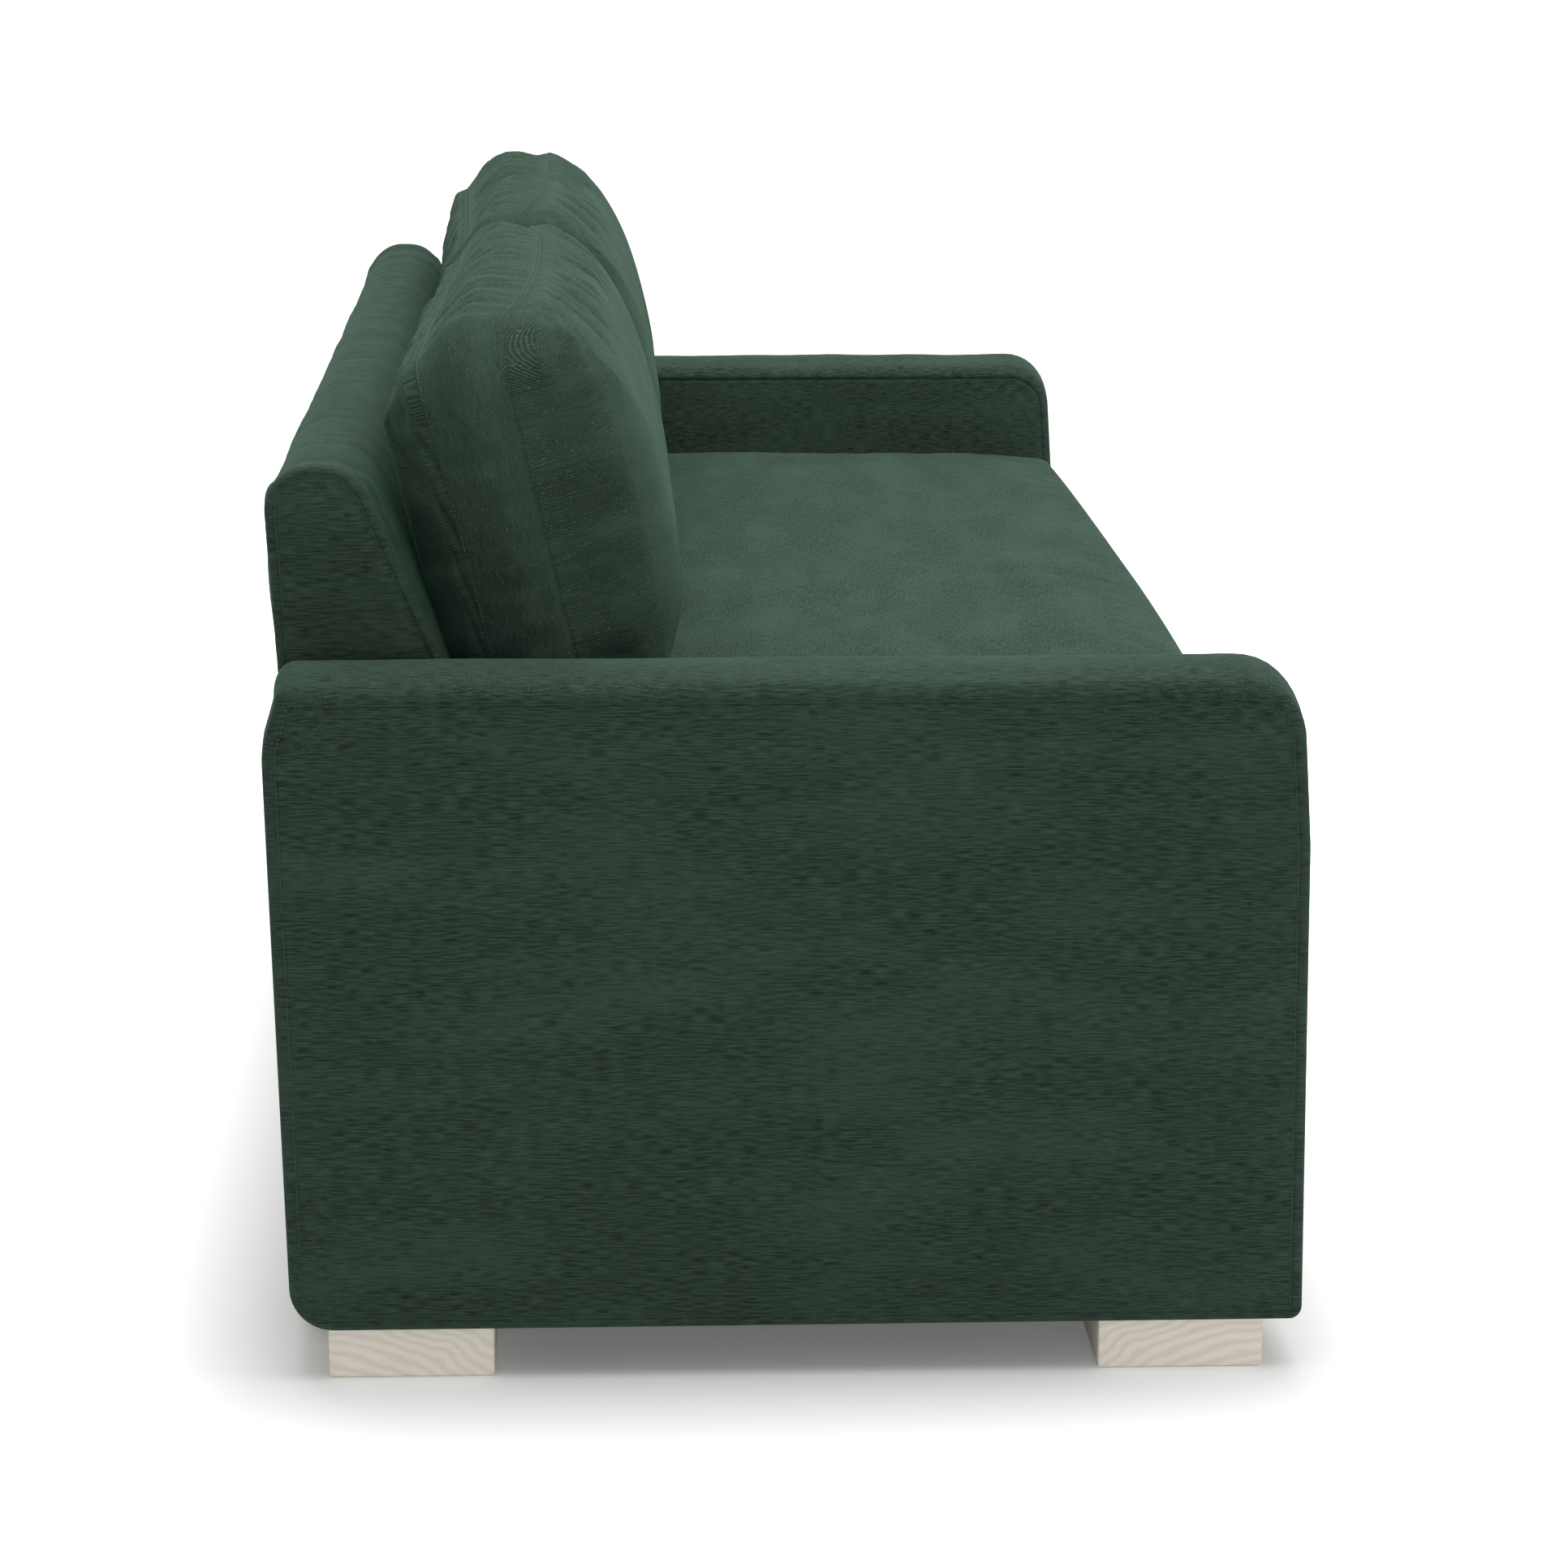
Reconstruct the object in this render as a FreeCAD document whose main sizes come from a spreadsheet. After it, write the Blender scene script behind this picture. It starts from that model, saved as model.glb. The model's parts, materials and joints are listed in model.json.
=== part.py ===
"""Three-seat futon sofa bed: a seat that rolls forward while the backrest hinged to it lies down flat.

Frame: millimetres, +Z up, front towards -Y, origin on the floor under the middle of the sofa.
Left is the -X end and right is the +X end, as seen by someone who stands in front of the sofa.
"""

import FreeCAD
import Part
import Sketcher
import math
import os

SIZES = {
    # whole sofa
    "overall_length": 2150,
    "arm_depth": 880,
    "back_overhang": 5.1,
    "seat_travel": 145,
    # arms and feet
    "arm_height": 618,
    "arm_thickness": 132,
    "arm_front_radius": 40,
    "arm_rear_radius": 20,
    "arm_heel_radius": 33,
    "arm_toe_radius": 12,
    "arm_wadding": 12,
    "arm_front_wadding": 28,
    "arm_top_wadding": 28,
    "arm_board": 9,
    "arm_heel_cut": 30,
    "arm_bottom_rail": 60,
    "arm_top_rail": 50,
    "arm_post": 60,
    "foot_height": 49,
    "foot_length": 143,
    "foot_width": 110,
    "foot_side_inset": 12,
    "foot_front_inset": 31,
    "foot_rear_inset": 40,
    "foot_edge_radius": 3,
    "foot_bolt_radius": 4,
    "foot_bolt_length": 75,
    "foot_bolt_bite": 45,
    "foot_bolt_pitch": 70,
    # seat
    "end_gap": 7,
    "seat_top": 512,
    "slat_top": 318,
    "slat_thickness": 8,
    "slat_width": 63,
    "slat_count": 18,
    "slat_end_inset": 30,
    "seat_rail_height": 70,
    "seat_rail_thickness": 30,
    "end_rail_thickness": 24,
    "cross_rail_count": 3,
    "rail_front_setback": 32,
    "roller_room": 27,
    "rear_board_thickness": 18,
    "rear_board_drop": 8,
    "mattress_setback": 4,
    "mattress_front_radius": 45,
    "mattress_step": 11,
    "mattress_board_gap": 1,
    "mattress_edge_radius": 8,
    "fascia_setback": 8,
    "fascia_wadding": 12,
    "fascia_board": 12,
    "fascia_bottom": 60,
    "fascia_end_gap": 13,
    # rollers, axles and runners
    "roller_radius": 14,
    "roller_width": 12,
    "roller_gap": 6,
    "roller_front": 195,
    "roller_rear_inset": 97,
    "axle_radius": 4,
    "axle_head_radius": 7,
    "axle_head": 2.5,
    "axle_end_float": 0.3,
    "running_clearance": 0.05,
    "runner_sheet": 3,
    "runner_height": 40,
    "runner_width": 23,
    "runner_end_room": 33,
    "runner_screw_rise": 28,
    "screw_radius": 2.5,
    "screw_clearance": 0.1,
    "runner_screw_count": 4,
    # hinge between seat and backrest
    "hinge_from_rear": 197,
    "hinge_below_seat": 32,
    "hinge_length": 84,
    "hinge_leaf": 2.5,
    "hinge_leaf_height": 75,
    "hinge_plane_gap": 0.5,
    "knuckle_radius": 5,
    "knuckle_gap": 0.4,
    "hinge_pin_radius": 2.5,
    "hinge_inner": 300,
    "hinge_end_inset": 176,
    # backrest
    "back_above_seat": 270,
    "front_lean": 23.5,
    "rear_lean": 3.5,
    "back_depth": 197.6,
    "back_top_radius": 38,
    "back_heel_radius": 20,
    "back_front_wadding": 35,
    "back_rear_wadding": 12,
    "back_top_wadding": 30,
    "back_end_wadding": 12,
    "back_board": 18,
    "back_top_rail": 22,
    "back_rib_count": 3,
    "back_nose": 13,
    "back_nose_drop": 10,
    "back_room_overcut": 1,
    # guide plates and pins
    "guide_sheet": 4,
    "guide_margin": 20,
    "guide_pin_radius": 7,
    "guide_pin_up": 78,
    "guide_pin_in": 79,
    "guide_pin_tip_gap": 1,
    "guide_slot_clearance": 1,
    "guide_screw_inset": 9,
    # base boards
    "panel_board": 18,
    "panel_wadding": 12.5,
    "panel_bottom": 55,
    "panel_below_seat": 132,
    "panel_board_drop": 8,
    "stretcher_thickness": 24,
    "stretcher_height": 100,
    "stretcher_bottom": 90,
    "front_stretcher_y": 95,
    "middle_stretcher_y": 425,
    "bracket_sheet": 3,
    "bracket_leg": 40,
    "bracket_height": 70,
    # loose back cushions
    "cushion_end_gap": 16,
    "cushion_gap": 4,
    "cushion_lean": 14.5,
    "cushion_from_hinge": 48,
    "cushion_height": 396,
    "cushion_gusset_rear": 37,
    "cushion_gusset_front": 45,
    "cushion_front_bulge": 140,
    "cushion_front_belly": 165,
    "cushion_rear_bulge": 70,
    "cushion_rear_belly": 180,
    "cushion_rear_shoulder": 290,
    "cushion_foot_front": 50,
    "cushion_foot_rear": 42,
    "cushion_edge_radius": 24,
    "cushion_belly_radius": 72,
    "rest_gap": 0.3,
}

SIDES = {"left": -1, "right": 1}

doc = FreeCAD.newDocument("futon_sofa_bed")
sheet = doc.addObject("Spreadsheet::Sheet", "sizes")
for row, (alias, number) in enumerate(SIZES.items(), 1):
    sheet.set(f"A{row}", alias)
    sheet.set(f"B{row}", str(number))
    sheet.setAlias(f"B{row}", alias)
doc.recompute()


class Size:
    """A length or angle with the sheet formula that it comes from."""

    def __init__(self, value, text):
        self.value = value
        self.text = text

    def __add__(self, other):
        other = as_size(other)
        return Size(self.value + other.value, f"({self.text} + {other.text})")

    def __sub__(self, other):
        other = as_size(other)
        return Size(self.value - other.value, f"({self.text} - {other.text})")

    def __mul__(self, other):
        other = as_size(other)
        return Size(self.value * other.value, f"({self.text} * {other.text})")

    def __truediv__(self, other):
        other = as_size(other)
        return Size(self.value / other.value, f"({self.text} / {other.text})")

    def __neg__(self):
        return Size(-self.value, f"(0 - {self.text})")


def as_size(thing):
    """A plain number as a Size of its own."""
    return thing if isinstance(thing, Size) else Size(float(thing), repr(float(thing)))


def dim(alias):
    """One driving size, as the sheet holds it."""
    return Size(float(sheet.get(alias)), f"sizes.{alias}")


def count(alias):
    """One driving count, as the sheet holds it."""
    return int(dim(alias).value)


def sine(angle):
    return Size(math.sin(math.radians(angle.value)), f"sin({angle.text})")


def cosine(angle):
    return Size(math.cos(math.radians(angle.value)), f"cos({angle.text})")


def tangent(angle):
    return Size(math.tan(math.radians(angle.value)), f"tan({angle.text})")


# Places that several pieces share
half_length = dim("overall_length") / 2
front = -(dim("arm_depth") + dim("back_overhang")) / 2
rear = front + dim("arm_depth")
arm_inner = half_length - dim("arm_thickness")
soft_end = arm_inner - dim("end_gap")
hinge_y = rear - dim("hinge_from_rear")
hinge_z = dim("seat_top") - dim("hinge_below_seat")
tilt = as_size(90) - dim("front_lean")
taper = dim("front_lean") - dim("rear_lean")
clear = dim("rest_gap")
leaf_plane = dim("hinge_leaf") + dim("hinge_plane_gap")
board_rear = hinge_y - leaf_plane
board_front = board_rear - dim("rear_board_thickness")
nodes = {}


def node(name, piece):
    """Names a finished sub-part, and keeps it for the export."""
    piece.Label = name
    nodes[name] = piece
    return piece


def bind(piece, **sizes):
    """Ties properties of a feature to the sheet."""
    for prop, size in sizes.items():
        piece.setExpression(prop, as_size(size).text)


def to_rest(y, z):
    """Where a point of the backrest's own frame lies when the sofa is upright.

    That frame starts on the hinge axis: y runs up the front face, z points out of it.
    """
    rest_y = hinge_y + y * cosine(tilt) - z * sine(tilt)
    rest_z = hinge_z + y * sine(tilt) + z * cosine(tilt)
    return rest_y, rest_z


def place(piece, x, y, z, tilted=False):
    """Puts a piece's own corner at a point, turned with the backrest if it is tilted."""
    if tilted:
        y, z = to_rest(as_size(y), as_size(z))
        turn = FreeCAD.Rotation(FreeCAD.Vector(1, 0, 0), tilt.value)
        piece.Placement = FreeCAD.Placement(FreeCAD.Vector(), turn)
        piece.setExpression("Placement.Rotation.Angle", tilt.text)
    for axis, size in zip("xyz", (x, y, z)):
        piece.setExpression(f"Placement.Base.{axis}", as_size(size).text)
    return piece


def block(name, low, high, tilted=False):
    """A board or bar with square edges between two corners."""
    low = [as_size(v) for v in low]
    high = [as_size(v) for v in high]
    box = doc.addObject("Part::Box", name)
    bind(box, Length=high[0] - low[0], Width=high[1] - low[1], Height=high[2] - low[2])
    return place(box, *low, tilted=tilted)


def rod(name, radius, low_x, high_x, y, z):
    """A round bar along X."""
    bar = doc.addObject("Part::Cylinder", name)
    bar.Placement = FreeCAD.Placement(FreeCAD.Vector(), FreeCAD.Rotation(FreeCAD.Vector(0, 1, 0), 90))
    bind(bar, Radius=radius, Height=high_x - low_x)
    return place(bar, low_x, y, z)


def post(name, radius, x, y, low_z, high_z):
    """A round bar along Z."""
    bar = doc.addObject("Part::Cylinder", name)
    bind(bar, Radius=radius, Height=high_z - low_z)
    return place(bar, x, y, low_z)


def fuse(name, pieces):
    joined = doc.addObject("Part::MultiFuse", name)
    joined.Shapes = pieces
    return joined


def group(name, pieces):
    """Separate equal solids that share a node."""
    together = doc.addObject("Part::Compound", name)
    together.Links = pieces
    return together


def cut(name, base, tools):
    """A piece with other pieces' room taken out of it."""
    result = doc.addObject("Part::Cut", name)
    result.Base = base
    result.Tool = tools[0] if len(tools) == 1 else group(f"{name}_tools", tools)
    return result


def outline_body(name, points, low_x, high_x, radii=None, tilted=False):
    """A body padded along X from an outline in Y and Z, with some of its long edges rounded.

    radii gives a radius for each corner that is rounded, by the corner's number in the outline.
    """
    points = [(as_size(y), as_size(z)) for y, z in points]
    low_x = as_size(low_x)
    body = doc.addObject("PartDesign::Body", f"{name}_body")
    plane = next(f for f in body.Origin.OriginFeatures if f.Role == "YZ_Plane")
    sketch = body.newObject("Sketcher::SketchObject", f"{name}_outline")
    sketch.AttachmentSupport = (plane, [""])
    sketch.MapMode = "FlatFace"
    corners = [FreeCAD.Vector(y.value, z.value, 0) for y, z in points]
    for start, end in zip(corners, corners[1:] + corners[:1]):
        sketch.addGeometry(Part.LineSegment(start, end), False)
    for number, (y, z) in enumerate(points):
        following = (number + 1) % len(points)
        sketch.addConstraint(Sketcher.Constraint("Coincident", number, 2, following, 1))
        for kind, size in (("DistanceX", y), ("DistanceY", z)):
            index = sketch.addConstraint(Sketcher.Constraint(kind, -1, 1, number, 1, size.value))
            sketch.setExpression(f"Constraints[{index}]", size.text)
    pad = body.newObject("PartDesign::Pad", f"{name}_pad")
    pad.Profile = sketch
    bind(pad, Length=as_size(high_x) - low_x)
    doc.recompute()
    last = pad
    for number, radius in (radii or {}).items():
        corner = corners[number]
        edge = edge_along_x(last.Shape, corner.x, corner.y)
        fillet = body.newObject("PartDesign::Fillet", f"{name}_round_{number}")
        fillet.Base = (last, [f"Edge{edge}"])
        bind(fillet, Radius=radius)
        doc.recompute()
        last = fillet
    body.Tip = last
    if tilted:
        return place(body, low_x, 0, 0, tilted=True)
    body.setExpression("Placement.Base.x", low_x.text)
    return body


def edge_along_x(shape, y, z):
    """The number of the straight edge along X at a place in Y and Z."""
    for number, edge in enumerate(shape.Edges, 1):
        ends = [v.Point for v in edge.Vertexes]
        if len(ends) == 2 and all(math.hypot(p.y - y, p.z - z) < 0.01 for p in ends):
            return number
    raise ValueError(f"no edge at {y:.1f}, {z:.1f}")


def side_span(side, near, far):
    """Low and high X of a piece between two distances from the middle, on one side."""
    return (near, far) if SIDES[side] > 0 else (-far, -near)


def spread(low, high, number):
    """Evenly spaced places from low to high."""
    return [low + (high - low) * (i / (number - 1)) for i in range(number)]


# Arms: two boards on a frame of rails, in a wadded cover that is open underneath
arm_bottom = dim("foot_height")
arm_room_front = front + dim("arm_front_wadding")
arm_room_rear = rear - dim("arm_wadding")
arm_room_top = dim("arm_height") - dim("arm_top_wadding")
runner_z = (
    dim("slat_top") - dim("slat_thickness") - dim("seat_rail_height") / 2 - dim("roller_radius") - clear
)
runner_front = front + dim("runner_end_room")
roller_rows = {
    "front": front + dim("roller_front"),
    "rear": board_front - dim("roller_rear_inset"),
}
runner_rear = roller_rows["rear"] + dim("runner_end_room") + dim("roller_radius")


def arm_outline():
    return [
        (arm_room_front, arm_bottom),
        (arm_room_rear - dim("arm_heel_cut"), arm_bottom),
        (arm_room_rear, arm_bottom + dim("arm_heel_cut")),
        (arm_room_rear, arm_room_top),
        (arm_room_front, arm_room_top),
    ]


def guide_path(steps=12):
    """Centres of the guide pin in Y and Z, from upright to flat."""
    places = []
    for i in range(steps + 1):
        part = i / steps
        angle = math.radians(tilt.value * (1 - part))
        up = dim("guide_pin_up").value
        out = -dim("guide_pin_in").value
        y = hinge_y.value - part * dim("seat_travel").value + up * math.cos(angle) - out * math.sin(angle)
        z = hinge_z.value + up * math.sin(angle) + out * math.cos(angle)
        places.append((y, z))
    return places


def guide_plate_ends():
    """The guide plate's low and high corner in Y and Z."""
    up = dim("guide_pin_up")
    inward = dim("guide_pin_in")
    margin = dim("guide_margin") + dim("guide_pin_radius")
    top_y, top_z = to_rest(up, -inward)
    flat_y = hinge_y - dim("seat_travel") + up
    flat_z = hinge_z - inward
    return (flat_y - margin, flat_z - margin), (top_y + margin, top_z + margin)


def guide_screw_places():
    (low_y, low_z), (high_y, high_z) = guide_plate_ends()
    inset = dim("guide_screw_inset")
    return [
        (low_y + inset, low_z + inset),
        (high_y - inset, low_z + inset),
        (high_y - inset, high_z - inset),
        (low_y + inset, high_z - inset),
    ]


def runner_screw_places():
    z = runner_z + dim("runner_screw_rise")
    ends = dim("runner_end_room")
    return [(y, z) for y in spread(runner_front + ends, runner_rear - ends, count("runner_screw_count"))]


def arm_screws(name, side, places, sheet_thickness, extra=0.0):
    """Screws, or the holes for them, through a plate into the arm's inner board."""
    low_x, high_x = side_span(
        side,
        arm_inner - sheet_thickness,
        arm_inner + dim("arm_wadding") + dim("arm_board"),
    )
    radius = dim("screw_radius") + extra
    return [rod(f"{name}_{side}_{i}", radius, low_x, high_x, y, z) for i, (y, z) in enumerate(places)]


def foot_places():
    """Low corner in Y of the front and the rear foot."""
    return {
        "front": front + dim("foot_front_inset"),
        "rear": rear - dim("foot_rear_inset") - dim("foot_length"),
    }


def foot_bolt_set(name, side, row, extra=0.0):
    """Two bolts that stand in a foot and bite into the arm's bottom rail."""
    low_x, high_x = side_span(
        side,
        half_length - dim("foot_side_inset") - dim("foot_width"),
        half_length - dim("foot_side_inset"),
    )
    middle_y = foot_places()[row] + dim("foot_length") / 2
    top = arm_bottom + dim("foot_bolt_bite") + extra
    bottom = arm_bottom + dim("foot_bolt_bite") - dim("foot_bolt_length") - extra
    radius = dim("foot_bolt_radius") + extra
    return [
        post(
            f"{name}_{row}_{side}_{i}",
            radius,
            (low_x + high_x) / 2,
            middle_y + dim("foot_bolt_pitch") * (i - 0.5),
            bottom,
            top,
        )
        for i in range(2)
    ]


def build_arm(side):
    wadding = dim("arm_wadding")
    board = dim("arm_board")
    bore = dim("screw_clearance")
    places = {"guide": guide_screw_places(), "runner": runner_screw_places()}

    def screw_room(name):
        rooms = []
        for kind, spots in places.items():
            rooms += arm_screws(f"{name}_{kind}_room", side, spots, as_size(0), bore)
        return rooms

    low_x, high_x = side_span(side, arm_inner, half_length)
    shell = outline_body(
        f"arm_shell_{side}",
        [
            (front, arm_bottom),
            (rear, arm_bottom),
            (rear, dim("arm_height")),
            (front, dim("arm_height")),
        ],
        low_x,
        high_x,
        {
            0: dim("arm_toe_radius"),
            1: dim("arm_heel_radius"),
            2: dim("arm_rear_radius"),
            3: dim("arm_front_radius"),
        },
    )
    room_low, room_high = side_span(side, arm_inner + wadding, half_length - wadding)
    room = outline_body(f"arm_room_{side}", arm_outline(), room_low, room_high)
    node(f"arm_padding_{side}", cut(f"arm_cover_{side}", shell, [room] + screw_room("cover")))

    low_x, high_x = side_span(side, half_length - wadding - board, half_length - wadding)
    node(f"arm_outer_board_{side}", outline_body(f"arm_outer_{side}", arm_outline(), low_x, high_x))

    low_x, high_x = side_span(side, arm_inner + wadding, arm_inner + wadding + board)
    inner = outline_body(f"arm_inner_{side}", arm_outline(), low_x, high_x)
    node(f"arm_inner_board_{side}", cut(f"arm_inner_drilled_{side}", inner, screw_room("inner")))

    low_x, high_x = side_span(side, arm_inner + wadding + board, half_length - wadding - board)
    rail_top = arm_bottom + dim("arm_bottom_rail")
    top_rail = arm_room_top - dim("arm_top_rail")
    heel = arm_room_rear - dim("arm_heel_cut")
    bottom_rail = block(
        f"arm_bottom_rail_{side}", (low_x, arm_room_front, arm_bottom), (high_x, heel, rail_top)
    )
    bolts = foot_bolt_set("rail_room", side, "front", bore) + foot_bolt_set("rail_room", side, "rear", bore)
    rails = [
        cut(f"arm_bottom_rail_drilled_{side}", bottom_rail, bolts),
        block(
            f"arm_top_rail_{side}",
            (low_x, arm_room_front, top_rail),
            (high_x, arm_room_rear, arm_room_top),
        ),
        block(
            f"arm_front_post_{side}",
            (low_x, arm_room_front, rail_top),
            (high_x, arm_room_front + dim("arm_post"), top_rail),
        ),
        block(
            f"arm_rear_post_{side}",
            (low_x, arm_room_rear - dim("arm_post"), rail_top),
            (high_x, arm_room_rear, top_rail),
        ),
    ]
    node(f"arm_rails_{side}", group(f"arm_frame_{side}", rails))


def build_feet(side):
    low_x, high_x = side_span(
        side,
        half_length - dim("foot_side_inset") - dim("foot_width"),
        half_length - dim("foot_side_inset"),
    )
    for row, low_y in foot_places().items():
        high_y = low_y + dim("foot_length")
        name = f"foot_{row}_{side}"
        block_body = outline_body(
            f"{name}_block",
            [(low_y, 0.0), (high_y, 0.0), (high_y, arm_bottom), (low_y, arm_bottom)],
            low_x,
            high_x,
        )
        blank = block_body.Tip
        uprights = [
            f"Edge{number}"
            for number, edge in enumerate(blank.Shape.Edges, 1)
            if abs(edge.tangentAt(edge.FirstParameter).z) > 0.99
        ]
        eased = block_body.newObject("PartDesign::Fillet", f"{name}_eased_edges")
        eased.Base = (blank, uprights)
        bind(eased, Radius=dim("foot_edge_radius"))
        block_body.Tip = eased
        doc.recompute()
        bolts = foot_bolt_set(f"{name}_room", side, row, dim("screw_clearance"))
        node(name, cut(f"{name}_drilled", block_body, bolts))


def build_foot_bolts():
    bolts = []
    for side in SIDES:
        for row in foot_places():
            bolts += foot_bolt_set("bolt", side, row)
    node("foot_bolts", group("foot_bolt_group", bolts))


def build_runner(side):
    """A steel angle on the arm, whose flat leg carries the seat's rollers."""
    drilled = arm_screws("runner_hole", side, runner_screw_places(), dim("runner_sheet"), dim("screw_clearance"))
    thickness = dim("runner_sheet")
    low_x, high_x = side_span(side, arm_inner - thickness, arm_inner)
    upright = block(
        f"runner_upright_{side}",
        (low_x, runner_front, runner_z - thickness),
        (high_x, runner_rear, runner_z - thickness + dim("runner_height")),
    )
    low_x, high_x = side_span(side, arm_inner - dim("runner_width"), arm_inner)
    track = block(
        f"runner_track_{side}",
        (low_x, runner_front, runner_z - thickness),
        (high_x, runner_rear, runner_z),
    )
    angle = fuse(f"runner_angle_{side}", [upright, track])
    node(f"seat_runner_{side}", cut(f"runner_drilled_{side}", angle, drilled))


def build_guide_plate(side):
    """A steel plate on the arm; its slot leads the backrest's pin from upright to flat."""
    (low_y, low_z), (high_y, high_z) = guide_plate_ends()
    thickness = dim("guide_sheet")
    low_x, high_x = side_span(side, arm_inner - thickness, arm_inner)
    plate = block(f"guide_blank_{side}", (low_x, low_y, low_z), (high_x, high_y, high_z))
    slot = doc.addObject("Part::Feature", f"guide_slot_{side}")
    slot.Shape = guide_slot(low_x.value - 1, thickness.value + 2)
    holes = arm_screws("guide_hole", side, guide_screw_places(), thickness, dim("screw_clearance"))
    node(f"guide_plate_{side}", cut(f"guide_slotted_{side}", plate, [slot] + holes))


def guide_slot(low_x, depth):
    """The room that the guide pin sweeps, with its clearance, as one solid."""
    half_width = dim("guide_pin_radius").value + dim("guide_slot_clearance").value
    centres = guide_path()
    edges = {1: [], -1: []}
    for i, (y, z) in enumerate(centres):
        before = centres[max(i - 1, 0)]
        after = centres[min(i + 1, len(centres) - 1)]
        along = FreeCAD.Vector(0, after[0] - before[0], after[1] - before[1]).normalize()
        across = FreeCAD.Vector(0, -along.z, along.y)
        for sign, points in edges.items():
            points.append(FreeCAD.Vector(low_x, y, z) + across * (sign * half_width))
    upper = Part.BSplineCurve()
    upper.interpolate(edges[1])
    lower = Part.BSplineCurve()
    lower.interpolate(edges[-1])
    start = FreeCAD.Vector(low_x, *centres[0])
    first = FreeCAD.Vector(low_x, *centres[1])
    end = FreeCAD.Vector(low_x, *centres[-1])
    second_last = FreeCAD.Vector(low_x, *centres[-2])
    start_tip = start + (start - first).normalize() * half_width
    end_tip = end + (end - second_last).normalize() * half_width
    wire = Part.Wire(
        Part.sortEdges(
            [
                upper.toShape(),
                Part.Arc(edges[1][-1], end_tip, edges[-1][-1]).toShape(),
                lower.toShape(),
                Part.Arc(edges[-1][0], start_tip, edges[1][0]).toShape(),
            ]
        )[0]
    )
    return Part.Face(wire).extrude(FreeCAD.Vector(depth, 0, 0))


def build_arm_screws():
    kinds = {
        "runner_screws": (runner_screw_places(), dim("runner_sheet")),
        "guide_plate_screws": (guide_screw_places(), dim("guide_sheet")),
    }
    for name, (places, thickness) in kinds.items():
        screws = []
        for side in SIDES:
            screws += arm_screws(name, side, places, thickness)
        node(name, group(f"{name}_group", screws))


def build_rear_panel():
    """The fixed panel that closes the back of the sofa under the backrest."""
    face = rear - dim("panel_wadding")
    bottom = dim("panel_bottom")
    top = dim("seat_top") - dim("panel_below_seat")
    board_top = top - dim("panel_board_drop")
    node(
        "rear_panel_board",
        block(
            "rear_board_block",
            (-arm_inner, face - dim("panel_board"), bottom),
            (arm_inner, face, board_top),
        ),
    )
    node("rear_panel_padding", block("rear_panel_pad", (-arm_inner, face, bottom), (arm_inner, rear, top)))


def build_stretchers():
    """Boards across the bottom of the sofa, with a steel angle at each end."""
    bottom = dim("stretcher_bottom")
    top = bottom + dim("stretcher_height")
    middle = (bottom + top) / 2
    leg = dim("bracket_leg")
    thickness = dim("bracket_sheet")
    low_z = middle - dim("bracket_height") / 2
    high_z = middle + dim("bracket_height") / 2
    brackets = []
    for row in ("front", "middle"):
        low_y = front + dim(f"{row}_stretcher_y")
        high_y = low_y + dim("stretcher_thickness")
        board = block(f"{row}_stretcher_board", (-arm_inner, low_y, bottom), (arm_inner, high_y, top))
        node(f"{row}_stretcher", board)
        for side in SIDES:
            low_x, high_x = side_span(side, arm_inner - leg, arm_inner)
            on_board = block(
                f"bracket_board_leg_{row}_{side}",
                (low_x, high_y, low_z),
                (high_x, high_y + thickness, high_z),
            )
            low_x, high_x = side_span(side, arm_inner - thickness, arm_inner)
            on_arm = block(
                f"bracket_arm_leg_{row}_{side}",
                (low_x, high_y, low_z),
                (high_x, high_y + leg, high_z),
            )
            brackets.append(fuse(f"bracket_{row}_{side}", [on_board, on_arm]))
    node("stretcher_brackets", group("bracket_group", brackets))


# Seat: a timber frame with slats on four rollers, the mattress, and the board that carries the hinges
deck = dim("slat_top")
frame_top = deck - dim("slat_thickness")
frame_bottom = frame_top - dim("seat_rail_height")
frame_end = arm_inner - dim("roller_room")
frame_front = front + dim("rail_front_setback")
axle_z = frame_bottom + dim("seat_rail_height") / 2


def build_seat_frame():
    rail = dim("seat_rail_thickness")
    end_rail = dim("end_rail_thickness")
    rear_rail_front = board_front - rail
    node(
        "seat_front_rail",
        block(
            "front_rail_bar",
            (-frame_end, frame_front, frame_bottom),
            (frame_end, frame_front + rail, frame_top),
        ),
    )
    node(
        "seat_rear_rail",
        block(
            "rear_rail_bar",
            (-frame_end, rear_rail_front, frame_bottom),
            (frame_end, board_front, frame_top),
        ),
    )
    for side in SIDES:
        low_x, high_x = side_span(side, frame_end - end_rail, frame_end)
        bar = block(
            f"end_rail_bar_{side}",
            (low_x, frame_front + rail, frame_bottom),
            (high_x, rear_rail_front, frame_top),
        )
        holes = [
            rod(f"axle_hole_{row}_{side}", dim("axle_radius") + dim("screw_clearance"), low_x, high_x, y, axle_z)
            for row, y in roller_rows.items()
        ]
        node(f"seat_end_rail_{side}", cut(f"end_rail_drilled_{side}", bar, holes))
    half = rail / 2
    inner = frame_end - end_rail
    number = count("cross_rail_count")
    middles = [-inner + inner * (2 * (i + 1) / (number + 1)) for i in range(number)]
    for i, x in enumerate(middles, 1):
        bar = block(
            f"cross_rail_bar_{i}",
            (x - half, frame_front + rail, frame_bottom),
            (x + half, rear_rail_front, frame_top),
        )
        node(f"seat_cross_rail_{i}", bar)
    board_top = hinge_z - dim("rear_board_drop")
    node(
        "seat_rear_board",
        block(
            "rear_hinge_board",
            (-frame_end, board_front, frame_bottom),
            (frame_end, board_rear, board_top),
        ),
    )


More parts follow.
